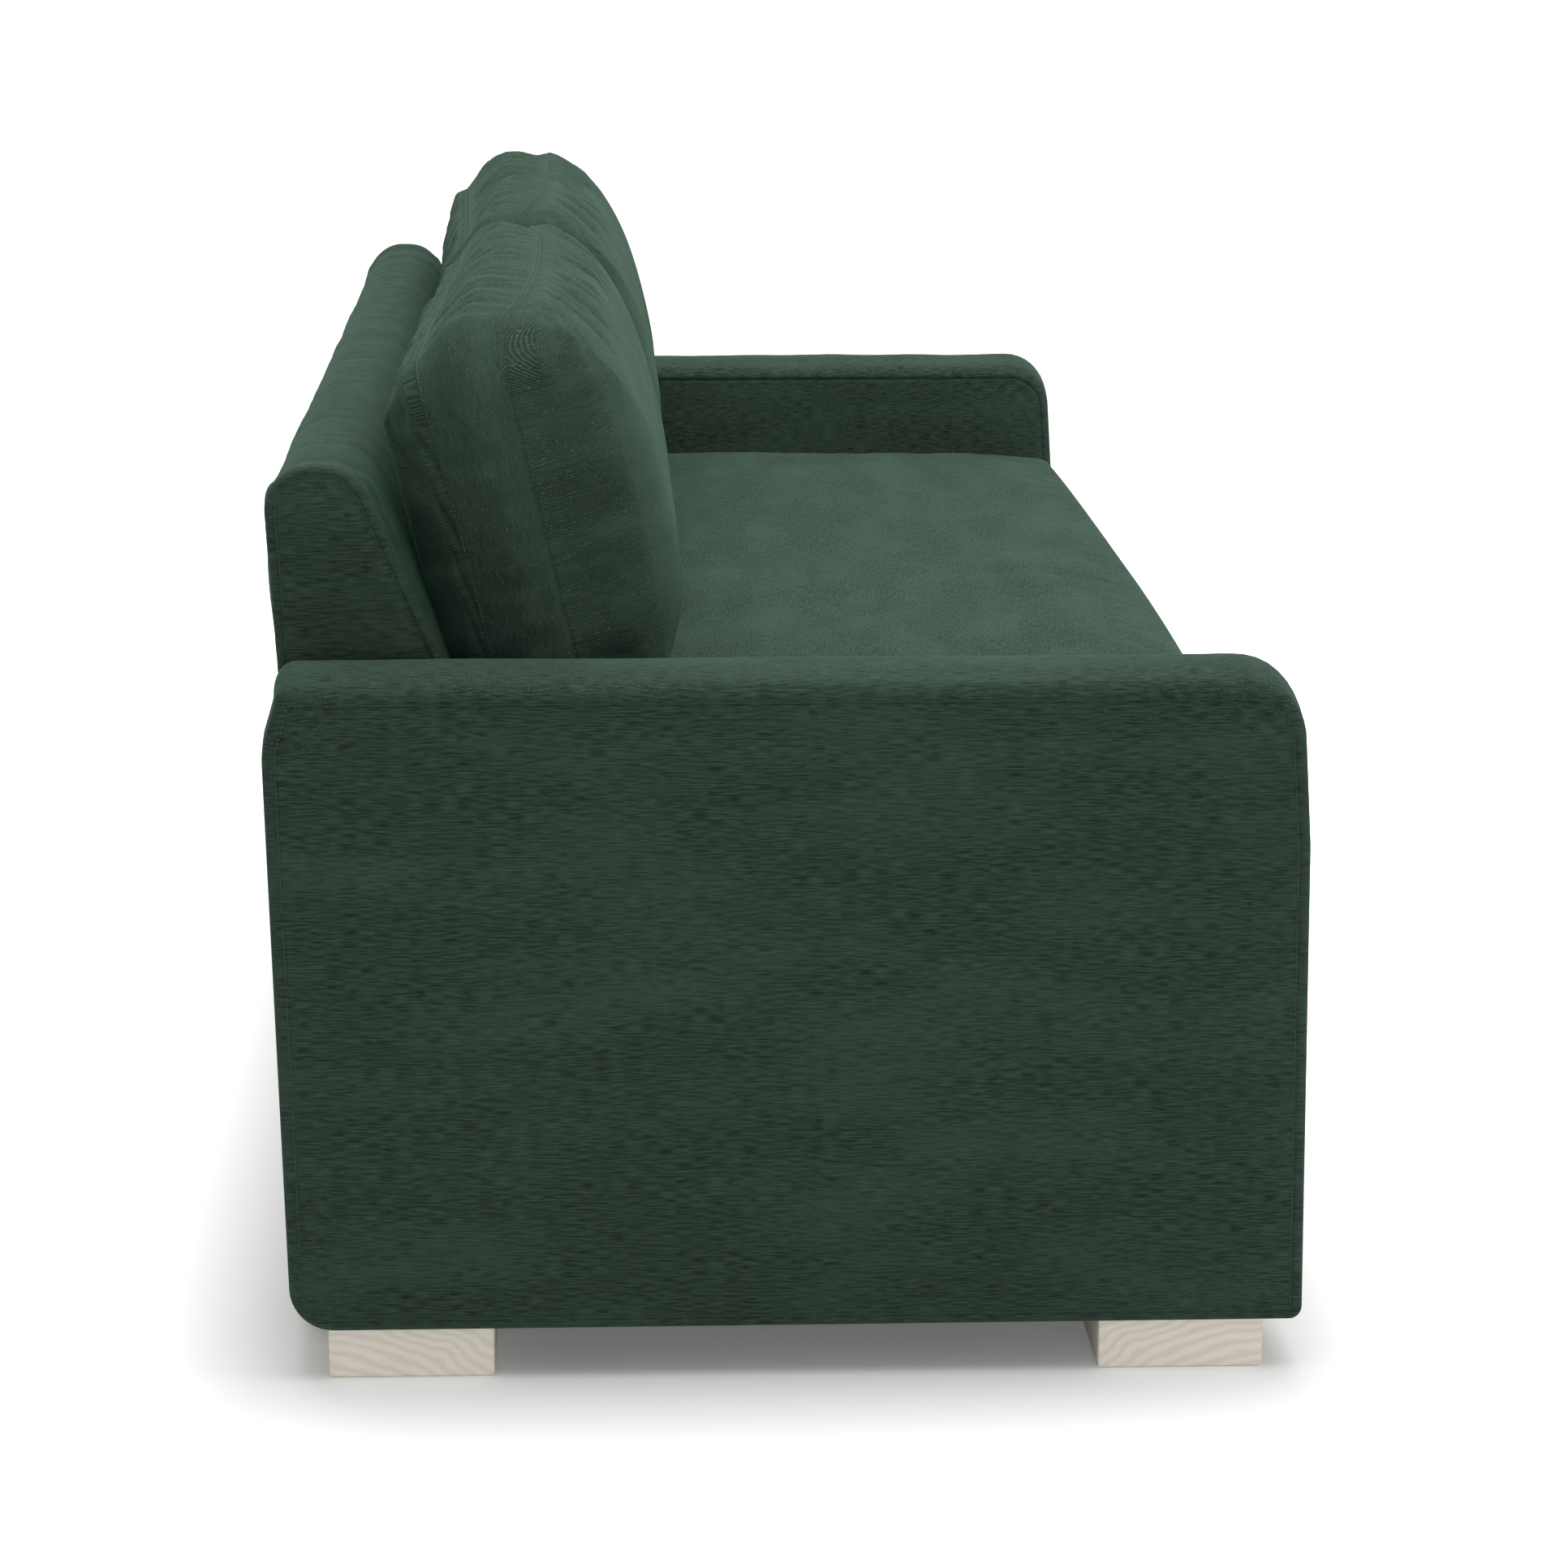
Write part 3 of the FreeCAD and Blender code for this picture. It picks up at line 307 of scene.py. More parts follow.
def unrolled(offset, half, height, width=165 * MM):
    """How far along the cloth a point of a domed panel lies from its middle."""
    away = np.linspace(0, half, 300)
    rise = height * bulge(away, width)
    arc = np.concatenate([[0.0], np.cumsum(np.hypot(np.diff(away), np.diff(rise)))])
    return np.sign(offset) * (arc[-1] - np.interp(half - np.abs(offset), away, arc))


class Pad:
    """A sewn pad: two panels joined by a boxing strip, with a seam round each panel.

    Panels lie in the a-b plane and the thickness runs along c. rings go from one panel's middle over
    its seam, round the boxing and to the other panel's middle.
    """

    def __init__(self, corners, radii, straight, turn):
        self.outline = (corners, radii)
        self.steps = (straight, turn)
        self.rings = []
        self.parts = []
        self.base, self.normals = rounded_outline(corners, radii, 0.0, straight, turn)
        self.count = len(self.normals)
        gaps = np.linalg.norm(np.roll(self.base, -1, 0) - self.base, axis=1)
        self.arc = np.concatenate([[0.0], np.cumsum(gaps)])
        self.domes = None  # the rise of the first and the second panel, where they are domed
        self.cover = COVER

    def ring(self, inset, c, part, swell=None):
        """Adds a ring; swell is how far each of its points stands outwards of the outline."""
        points, normals = rounded_outline(*self.outline, inset, *self.steps)
        if swell is not None:
            points = points + normals * np.asarray(swell)[:, None]
        level = np.full(len(points), c) if np.isscalar(c) else np.asarray(c)
        self.rings.append(np.column_stack([points, level]))
        self.parts.append(part)

    def panel(self, c, lift, width):
        """Closes the pad's end from its last seam to the middle; lift is how far the panel domes out."""
        edge = self.rings[-1][:, :2]
        middle = edge.mean(0)
        reach = np.linalg.norm(edge - middle, axis=1).mean()
        for ratio in (0.96, 0.92, 0.87, 0.81, 0.74, 0.66, 0.57, 0.47, 0.37, 0.27, 0.17, 0.08, 0.015):
            level = c + lift * bulge((1 - ratio) * reach, width)
            self.rings.append(np.column_stack([middle + (edge - middle) * ratio, np.full(self.count, level)]))
            self.parts.append("panel")

    def join(self, other, seam):
        """Adds the rings of another pad in reverse, and gives the new number of its seam ring."""
        start = len(self.rings)
        self.rings += other.rings[::-1]
        self.parts += other.parts[::-1]
        return start + len(other.rings) - 1 - seam

    def soften(self, first, last, rounds):
        """Evens out the level of the panel rings first to last, so that no crease runs in from a corner."""
        levels = np.array([ring[:, 2] for ring in self.rings[first : last + 1]])
        for _ in range(rounds):
            beside = (np.roll(levels, 1, 1) + np.roll(levels, -1, 1)) / 2
            levels = 0.5 * levels + 0.5 * beside
            before, after = levels[:-2], levels[2:]
            levels[1:-1] = 0.5 * levels[1:-1] + 0.25 * (before + after)
        for ring, level in zip(self.rings[first : last + 1], levels):
            ring[:, 2] = level

    def flip(self):
        """Turns the order of the rings made so far."""
        self.rings.reverse()
        self.parts.reverse()

    def build(self, name, to_world):
        """Makes the mesh, with the weave's own map measured along the cloth."""
        count = self.count
        points = np.concatenate(self.rings)
        flat = [ring[:, :2].copy() for ring in self.rings]
        if self.domes:
            sewn = [r for r, part in enumerate(self.parts) if part != "panel"]
            halves = np.abs(self.base - self.base.mean(0)).max(0)
            for r, ring in enumerate(flat):
                height = self.domes[0] if r < sewn[0] else self.domes[1] if r > sewn[-1] else 0.0
                for axis in range(2):
                    offset = ring[:, axis] - self.base[:, axis].mean()
                    ring[:, axis] = unrolled(offset, halves[axis], height)
        flat = np.concatenate(flat)
        faces = []
        maps = []
        for r in range(len(self.rings) - 1):
            boxing = self.parts[r] == "boxing" or self.parts[r + 1] == "boxing"
            for i in range(count):
                j = (i + 1) % count
                faces.append((r * count + i, r * count + j, (r + 1) * count + j, (r + 1) * count + i))
                if boxing:
                    low, high = self.rings[r][i][2], self.rings[r + 1][i][2]
                    here, there = self.arc[i], self.arc[i + 1]
                    maps += [(here, low), (there, low), (there, high), (here, high)]
                else:
                    maps += [tuple(flat[k]) for k in faces[-1]]
        first = tuple(reversed(range(count)))
        last = tuple((len(self.rings) - 1) * count + i for i in range(count))
        for cap in (first, last):
            faces.append(cap)
            maps += [tuple(flat[k]) for k in cap]
        mesh = bpy.data.meshes.new(name)
        mesh.from_pydata([to_world(p) for p in points], [], faces)
        layer = mesh.uv_layers.new(name="weave")
        layer.data.foreach_set("uv", np.array(maps, np.float32).ravel())
        mesh.shade_smooth()
        mesh.materials.append(self.cover)
        made = bpy.data.objects.new(name, mesh)
        bpy.context.scene.collection.objects.link(made)
        turn_outwards(made)
        return made

    def loop(self, piece, ring):
        """World points of one ring of the finished piece."""
        start = ring * self.count
        return [piece.data.vertices[start + i].co.copy() for i in range(self.count)]


def turn_outwards(piece):
    """Turns the faces outwards."""
    edit = bmesh.new()
    edit.from_mesh(piece.data)
    bmesh.ops.recalc_face_normals(edit, faces=edit.faces)
    edit.to_mesh(piece.data)
    edit.free()


def close_middle(piece):
    """Sews the last narrow gap in the middle of each panel shut."""
    widest_gap = 2.4 * MM
    edit = bmesh.new()
    edit.from_mesh(piece.data)
    ends = {vertex for face in edit.faces if len(face.verts) > 4 for vertex in face.verts}
    bmesh.ops.remove_doubles(edit, verts=list(ends), dist=widest_gap)
    edit.to_mesh(piece.data)
    edit.free()


def seam_rings(pad, seam_c, out, seam_inset, roll, swell_end, panel=None):
    """The groove of a seam and the roll of cloth beside it, from the panel out to the boxing.

    out is the way that the panel faces along c. The groove's deepest ring is returned. panel is the
    lift and the width of the dome of a panel that closes the pad inside the seam.
    """
    depth = 2.2 * MM
    if panel:
        pad.ring(seam_inset + 3.6 * MM, seam_c, "panel")
        pad.panel(seam_c, *panel)
        pad.flip()
    for offset, share in ((2.4, 0.0), (1.2, 0.45), (0.0, 1.0), (-1.2, 0.45), (-2.4, 0.0)):
        pad.ring(seam_inset + offset * MM, seam_c - out * depth * share, "seam")
    groove = len(pad.rings) - 3
    left = seam_inset - 2.4 * MM
    for k in range(1, 6):
        angle = math.pi / 2 * k / 5
        part = "boxing" if k == 5 else "roll"
        inset = left * (1 - math.sin(angle))
        pad.ring(inset, seam_c - out * roll * (1 - math.cos(angle)), part, swell_end * (k / 5) ** 2)
    return groove


def ripple(s, seed, shortest, longest, terms=9):
    """A smooth irregular wave along s, about -1 to 1, the same for the same seed."""
    local = np.random.default_rng(seed)
    total = np.zeros_like(s)
    for _ in range(terms):
        length = shortest * (longest / shortest) ** local.random()
        total += np.sin(math.tau * (s / length + local.random())) * (0.5 + local.random())
    return total / terms * 1.6


def bulge(values, width):
    """0 at the seam, rising like a pillow to 1 at width."""
    t = np.clip(np.asarray(values, float) / width, 0, 1)
    return np.sqrt(np.maximum(1 - (1 - t) ** 2.2, 0))


def stitch_row(name, loops):
    """Stitches along closed seams, made by a node tree: short thread ends set along resampled curves."""
    curve = bpy.data.curves.new(name, "CURVE")
    curve.dimensions = "3D"
    for loop in loops:
        spline = curve.splines.new("POLY")
        spline.points.add(len(loop) - 1)
        for point, place in zip(spline.points, loop):
            point.co = (*place, 1.0)
        spline.use_cyclic_u = True
    holder = bpy.data.objects.new(f"{name}_path", curve)
    bpy.context.scene.collection.objects.link(holder)
    tree = bpy.data.node_groups.new(f"{name}_nodes", "GeometryNodeTree")
    tree.interface.new_socket("Geometry", in_out="INPUT", socket_type="NodeSocketGeometry")
    sizes = {"Pitch": 5.0 * MM, "Stitch length": 3.6 * MM, "Thread radius": 0.55 * MM}
    identifiers = {}
    for label, value in sizes.items():
        socket = tree.interface.new_socket(label, in_out="INPUT", socket_type="NodeSocketFloat")
        socket.default_value = value
        identifiers[label] = socket.identifier
    tree.interface.new_socket("Geometry", in_out="OUTPUT", socket_type="NodeSocketGeometry")
    source = tree.nodes.new("NodeGroupInput")
    even = add(tree, "GeometryNodeResampleCurve", {"mode": "LENGTH"}, Curve=source.outputs[0])
    tree.links.new(source.outputs["Pitch"], even.inputs["Length"])
    thread = add(tree, "GeometryNodeMeshCylinder", Vertices=6)
    tree.links.new(source.outputs["Thread radius"], thread.inputs["Radius"])
    tree.links.new(source.outputs["Stitch length"], thread.inputs["Depth"])
    way = add(tree, "GeometryNodeInputTangent")
    turn = add(tree, "FunctionNodeAlignRotationToVector", {"axis": "Z"}, Vector=way.outputs[0])
    rows = add(
        tree, "GeometryNodeInstanceOnPoints",
        Points=even.outputs[0], Instance=thread.outputs["Mesh"], Rotation=turn.outputs[0],
    )
    real = add(tree, "GeometryNodeRealizeInstances", Geometry=rows.outputs[0])
    finish = add(tree, "GeometryNodeSetMaterial", Geometry=real.outputs[0], Material=THREAD)
    end = tree.nodes.new("NodeGroupOutput")
    tree.links.new(finish.outputs[0], end.inputs[0])
    modifier = holder.modifiers.new("stitches", "NODES")
    modifier.node_group = tree
    for label, value in sizes.items():
        modifier[identifiers[label]] = value
    graph = bpy.context.evaluated_depsgraph_get()
    mesh = bpy.data.meshes.new_from_object(holder.evaluated_get(graph), depsgraph=graph)
    made = bpy.data.objects.new(name, mesh)
    bpy.context.scene.collection.objects.link(made)
    bpy.data.objects.remove(holder)
    made.data.materials.clear()
    made.data.materials.append(THREAD)
    return made


def settle(piece, seams, voxel, grow, cap, pressure=4.0, reach=26 * MM, keep=None):
    """Swells and wrinkles the cover as sewn cloth over its filling, and moves the piece's points to match.

    A copy remeshed in voxels is simulated with its seams held. grow is how much more cloth there is than
    surface, cap the furthest that a point may move, reach how far from a seam the cloth is still held.
    keep gives how much of the movement a point takes.
    """
    scene = bpy.context.scene
    copy = piece.copy()
    copy.data = piece.data.copy()
    scene.collection.objects.link(copy)
    remesh = copy.modifiers.new("voxels", "REMESH")
    remesh.mode = "VOXEL"
    remesh.voxel_size = voxel
    graph = bpy.context.evaluated_depsgraph_get()
    mesh = bpy.data.meshes.new_from_object(copy.evaluated_get(graph), depsgraph=graph)
    copy.modifiers.clear()
    copy.data = mesh
    number = len(mesh.vertices)
    start = np.empty(number * 3)
    mesh.vertices.foreach_get("co", start)
    start = start.reshape(-1, 3)
    seam_tree = KDTree(sum(len(loop) for loop in seams))
    for i, point in enumerate(p for loop in seams for p in loop):
        seam_tree.insert(point, i)
    seam_tree.balance()
    held = copy.vertex_groups.new(name="held")
    for i, point in enumerate(start):
        away = seam_tree.find(point)[2]
        held.add([i], float(np.clip(1.15 - away / reach, 0.02, 1.0)), "REPLACE")
    cloth = copy.modifiers.new("cloth", "CLOTH")
    cloth.settings.quality = 4
    cloth.settings.mass = 0.25
    cloth.settings.tension_stiffness = 12
    cloth.settings.compression_stiffness = 12
    cloth.settings.shear_stiffness = 4
    cloth.settings.bending_stiffness = 0.4
    cloth.settings.use_pressure = True
    cloth.settings.uniform_pressure_force = pressure
    cloth.settings.effector_weights.gravity = 0
    cloth.settings.shrink_min = -grow
    cloth.settings.vertex_group_mass = "held"
    cloth.settings.pin_stiffness = 2
    cloth.collision_settings.use_collision = False
    cloth.point_cache.frame_start = 1
    cloth.point_cache.frame_end = SETTLING_FRAMES
    for frame_number in range(1, SETTLING_FRAMES + 1):
        scene.frame_set(frame_number)
    graph = bpy.context.evaluated_depsgraph_get()
    moved = bpy.data.meshes.new_from_object(copy.evaluated_get(graph), depsgraph=graph)
    end = np.empty(number * 3)
    moved.vertices.foreach_get("co", end)
    shift = end.reshape(-1, 3) - start
    long = np.linalg.norm(shift, axis=1)
    shift *= (np.minimum(long, cap) / np.maximum(long, 1e-9))[:, None]
    near = KDTree(number)
    for i, point in enumerate(start):
        near.insert(point, i)
    near.balance()
    for vertex in piece.data.vertices:
        found = near.find_n(vertex.co, 4)
        weights = np.array([1 / (away + 0.5 * MM) for _, _, away in found])
        step = (shift[[i for _, i, _ in found]] * weights[:, None]).sum(0) / weights.sum()
        share = 1.0 if keep is None else keep(vertex.co)
        vertex.co += Vector(step) * share
    bpy.data.objects.remove(copy)
    scene.frame_set(1)


def finish_pad(piece, body, node):
    """Puts a cover on its body in place of the part it stands for."""
    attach(piece, body)
    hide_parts(node)


def finish_stitches(piece, body):
    """Puts a row of stitches on its cover's body."""
    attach(piece, body)


# ---------------------------------------------------------------- arms


def build_arm(side):
    """A slab arm: flat outer and inner panel, and a boxing strip crowned along the top."""
    node = f"arm_padding_{side}"
    low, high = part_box(node)
    sign = SIDES[side]
    front, rear, bottom = low.y, high.y, low.z
    crown = 13 * MM
    top = high.z - crown
    sag = 5 * MM
    corners = [
        (front - 2 * MM, bottom - sag),
        (rear - 9 * MM, bottom - sag),
        (rear + 5 * MM, top - 52 * MM),
        (rear - 10 * MM, top),
        (front + 11 * MM, top),
        (front + 2 * MM, top - 140 * MM),
    ]
    radii = [v * MM for v in (11, 38, 70, 14, 50, 220)]
    pad = Pad(corners, radii, straight=(70, 42, 8, 68, 6, 34), turn=10)
    swell = pad.normals[:, 1].clip(0) ** 1.5 * crown + np.abs(pad.normals[:, 0]) * 2 * MM
    along = pad.arc[:-1]
    slack = (
        ripple(along, 11 + sign, 90 * MM, 400 * MM) * 0.9 * MM
        + ripple(along, 17 + sign, 25 * MM, 60 * MM) * 0.25 * MM * pad.normals[:, 1].clip(0)
    )
    seam_inset = 10.5 * MM
    seam_low, seam_high = low.x + 3.5 * MM, high.x - 3.5 * MM
    roll = 8 * MM
    first = seam_rings(pad, seam_low, -1, seam_inset, roll, swell * 0.35, panel=(-3.0 * MM, 120 * MM))
    steps = 14
    start, end = seam_low + roll, seam_high - roll
    for k in range(1, steps):
        t = 2 * k / steps - 1
        share = 0.35 + 0.65 * (1 - t * t)
        pad.ring(0.0, start + (end - start) * k / steps, "boxing", swell * share + slack * (1 - t * t))
    far = Pad(corners, radii, *pad.steps)
    second = seam_rings(far, seam_high, 1, seam_inset, roll, swell * 0.35, panel=(3.0 * MM, 120 * MM))
    second = pad.join(far, second)
    piece = pad.build(f"arm_cover_{side}", lambda p: (p[2], p[0], p[1]))
    finish_pad(piece, "base", node)
    loops = [pad.loop(piece, first), pad.loop(piece, second)]
    finish_stitches(stitch_row(f"arm_stitches_{side}", loops), "base")


# ---------------------------------------------------------------- backrest


def build_backrest():
    """The wedge between the arms: end panels seamed to one long cover with soft cross ripples."""
    low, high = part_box("backrest_padding")
    hinge = next(j for j in frame["joints"] if j["name"] == "backrest_recline")["pos_m"]
    top = high.z - 6 * MM
    face_lean = math.tan(math.radians(23.5))
    back_lean = math.tan(math.radians(3.5))
    rear_top = high.y + 3.5 * MM
    lean_sine, lean_cosine = 0.3987, 0.9171
    nose_rise, lip_rise, lip_reach = 13 * MM, 3.5 * MM, 9 * MM
    nose = Vector((hinge[1] + nose_rise * lean_sine, hinge[2] + nose_rise * lean_cosine))
    lip = Vector((
        hinge[1] + lip_rise * lean_sine + lip_reach * lean_cosine,
        hinge[2] + lip_rise * lean_cosine - lip_reach * lean_sine,
    ))

    def face_y(z):
        return hinge[1] + (z - hinge[2]) * face_lean

    def rear_y(z):
        return rear_top - (top - 40 * MM - z) * back_lean

    heel_y = rear_y(low.z + 2 * MM)
    corners = [
        (nose.x, nose.y),
        (lip.x, lip.y),
        (heel_y, lip.y - (heel_y - lip.x) * face_lean + 2 * MM),
        (rear_y(top), top),
        (face_y(top), top),
    ]
    radii = [v * MM for v in (4, 4, 22, 41, 43)]
    pad = Pad(corners, radii, straight=(2, 26, 38, 3, 34), turn=12)
    upper = np.clip((pad.base[:, 1] - hinge[2]) / (top - hinge[2]), 0, 1)
    front_share = np.clip(-pad.normals[:, 0], 0, 1)
    seam_inset = 9 * MM
    roll = 8 * MM
    end_low, end_high = low.x + 2.5 * MM, high.x - 2.5 * MM
    zero = np.zeros(pad.count)
    first = seam_rings(pad, end_low, -1, seam_inset, roll, zero, panel=(-2.5 * MM, 40 * MM))
    steps = 170
    start, end = end_low + roll, end_high - roll
    round_top = np.clip(pad.normals[:, 1], 0, 1)
    for k in range(1, steps):
        x = start + (end - start) * k / steps
        place = np.full(pad.count, x)
        near_end = min(k, steps - k) / steps
        fullness = 4.0 * MM * (1 - math.exp(-near_end * 30))
        cross = ripple(place + 0.10 * pad.arc[:-1], 31, 24 * MM, 90 * MM) * 1.1 * MM
        long_wave = ripple(place, 37, 240 * MM, 700 * MM) * 1.4 * MM
        narrow, wide = math.exp(-((x / (3.2 * MM)) ** 2)), math.exp(-((x / (40 * MM)) ** 2))
        middle_seam = -2.4 * MM * narrow - 1.6 * MM * wide
        loose = fullness * (0.4 + 0.6 * front_share) + cross * (0.25 + 0.75 * round_top) + long_wave
        swell = loose * (0.15 + 0.85 * upper) - 1.0 * MM + middle_seam * (upper > 0)
        pad.ring(0.0, x, "boxing", swell)
    far = Pad(corners, radii, *pad.steps)
    second = seam_rings(far, end_high, 1, seam_inset, roll, zero, panel=(2.5 * MM, 40 * MM))
    second = pad.join(far, second)
    piece = pad.build("backrest_cover", lambda p: (p[2], p[0], p[1]))
    seams = [pad.loop(piece, first), pad.loop(piece, second)]

    def loose_share(at):
        """The lower part keeps its shape beside the hinges and guide plates."""
        return np.clip((at.z - hinge[2] - 60 * MM) / (120 * MM), 0, 1)

    settle(piece, seams, 12 * MM, 0.03, 4 * MM, keep=loose_share)
    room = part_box("guide_plate_right")[0].x - 0.8 * MM  # as it reclines, the cover passes the guide plates
    for vertex in piece.data.vertices:
        vertex.co.x = np.clip(vertex.co.x, -room, room)
    finish_pad(piece, "backrest", "backrest_padding")
    loops = [pad.loop(piece, first), pad.loop(piece, second)]
    finish_stitches(stitch_row("backrest_stitches", loops), "backrest")


# ---------------------------------------------------------------- loose back cushions


def build_cushion(side):
    """A plump boxed cushion: domed front, flatter back, a 74 mm gusset that puckers along the top."""
    node = f"back_cushion_{side}"
    low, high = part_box(node)
    sign = SIDES[side]
    lean = math.radians(13.5)
    middle_x = (low.x + high.x) / 2
    half = (high.x - low.x) / 2 - 4 * MM
    tall = 0.389
    foot_y = low.y + 0.0895
    foot_z = low.z + 2 * MM
    gusset = 74 * MM
    corners = [(-half, 0.0), (half, 0.0), (half - 6 * MM, tall), (-half + 6 * MM, tall)]
    radii = [v * MM for v in (55, 55, 70, 70)]
    pad = Pad(corners, radii, straight=(100, 34, 100, 34), turn=12)
    pad.domes = (84 * MM, 40 * MM)
    pad.cover = CUSHION_COVER
    along = pad.arc[:-1]
    top_share = pad.normals[:, 1].clip(0)
    side_share = np.abs(pad.normals[:, 0])
    around_corner = np.clip(2.2 * np.abs(pad.normals[:, 0] * pad.normals[:, 1]), 0, 1)
    pucker = ripple(along, 50 + sign, 17 * MM, 46 * MM) * (1 - 0.95 * around_corner)
    pucker_soft = ripple(along, 60 + sign, 60 * MM, 190 * MM)
    deep = tall / 2 - 0.3 * MM
    insets = np.concatenate([np.linspace(deep, 24 * MM, 25), [18 * MM, 12 * MM, 7 * MM]])

    def panel(seam_c, out, height, order):
        """Adds a domed panel, ring by ring, with puckers along its upper seam."""
        begin = len(pad.rings)
        for inset in order:
            edge = math.exp(-inset / (38 * MM))
            level = seam_c + out * height * bulge(inset, 165 * MM) * np.ones(pad.count)
            wave = pucker * 2.2 * edge * (0.1 + 0.9 * top_share) + pucker_soft * 3.0 * (0.2 + 0.8 * edge)
            pad.ring(inset, level + out * wave * MM * min(inset / (12 * MM), 1), "panel")
        evened, rounds = 21, 26
        last = len(pad.rings) - 1
        if out < 0:
            pad.soften(begin, begin + evened, rounds)
        else:
            pad.soften(last - evened, last, rounds)

    front_seam, rear_seam = -gusset / 2, gusset / 2
    panel(front_seam, -1, pad.domes[0], insets)
    seam_steps = ((4.2, 0.0), (1.8, 0.5), (3.4, 1.7), (1.4, 2.8), (0.3, 4.2))
    for inset, c in seam_steps:
        pad.ring(inset * MM, front_seam + c * MM, "seam")
    first = len(pad.rings) - 3
    steps = 12
    for k in range(1, steps):
        t = 2 * k / steps - 1
        crown = (1 - t * t) * (5.0 + 4.0 * top_share + 3.0 * side_share)
        wave = pucker * (0.4 + 2.2 * top_share) * (1 - 0.5 * t * t)
        spread = front_seam + 5 * MM + (gusset - 10 * MM) * k / steps
        pad.ring(0.0, spread, "boxing", (crown + wave) * MM)
    for inset, c in seam_steps[::-1]:
        pad.ring(inset * MM, rear_seam - c * MM, "seam")
    second = len(pad.rings) - 3
    panel(rear_seam, 1, pad.domes[1], insets[::-1])

    sine, cosine = math.sin(lean), math.cos(lean)

    def to_world(p):
        """Leans the cushion back and settles its lower edge on the seat."""
        x, up, back = p
        height = np.clip(up / tall, 0, 1)
        middle = 1 - abs(x / half) ** 2.6
        depth = max(-back - gusset / 2, 0.0)
        towards_middle = np.clip(0.5 - sign * x / half * 0.5, 0, 1)
        bow = 38 * MM * middle * height**2 * math.exp(-depth / (45 * MM))
        shoulder = 26 * MM * towards_middle * (1 - abs(x / half) ** 8) * height**1.5
        belly = 11 * MM * math.sin(math.pi * height**0.8) * np.clip(depth / (60 * MM), 0, 1)
        forward = np.clip((rear_seam - back) / gusset, 0, 1)
        rearward = np.clip(0.5 + back / gusset, 0, 1)
        back -= bow * forward + shoulder * rearward + belly
        sag = 9 * MM * (x / half) ** 2
        tuck = 22 * MM * height**6 * np.clip(0.5 + back / gusset, 0, 1) ** 1.5
        y = foot_y + back * cosine + up * sine
        z = foot_z + up * cosine - back * sine - sag * height - tuck
        soft = 20 * MM
        if z < foot_z + soft:
            z = foot_z + soft * math.exp((z - foot_z - soft) / soft)
        return (middle_x + x, y, z)

    piece = pad.build(f"back_cushion_cover_{side}", to_world)
    seams = [pad.loop(piece, first), pad.loop(piece, second)]
    settle(piece, seams, 9 * MM, 0.045, 12 * MM)
    middle_gap, past_end = 0.8 * MM, 11 * MM
    widest = abs(low.x) + abs(high.x) - 2 * MM + past_end
    inner, outer = sorted((sign * middle_gap, sign * widest))
    for vertex in piece.data.vertices:
        vertex.co.x = np.clip(vertex.co.x, inner, outer)
        vertex.co.z = max(vertex.co.z, low.z + 0.3 * MM)
    loops = [pad.loop(piece, first), pad.loop(piece, second)]
    close_middle(piece)
    finish_pad(piece, f"cushion_{side}", node)
    finish_stitches(stitch_row(f"back_cushion_stitches_{side}", loops), f"cushion_{side}")


# ---------------------------------------------------------------- seat


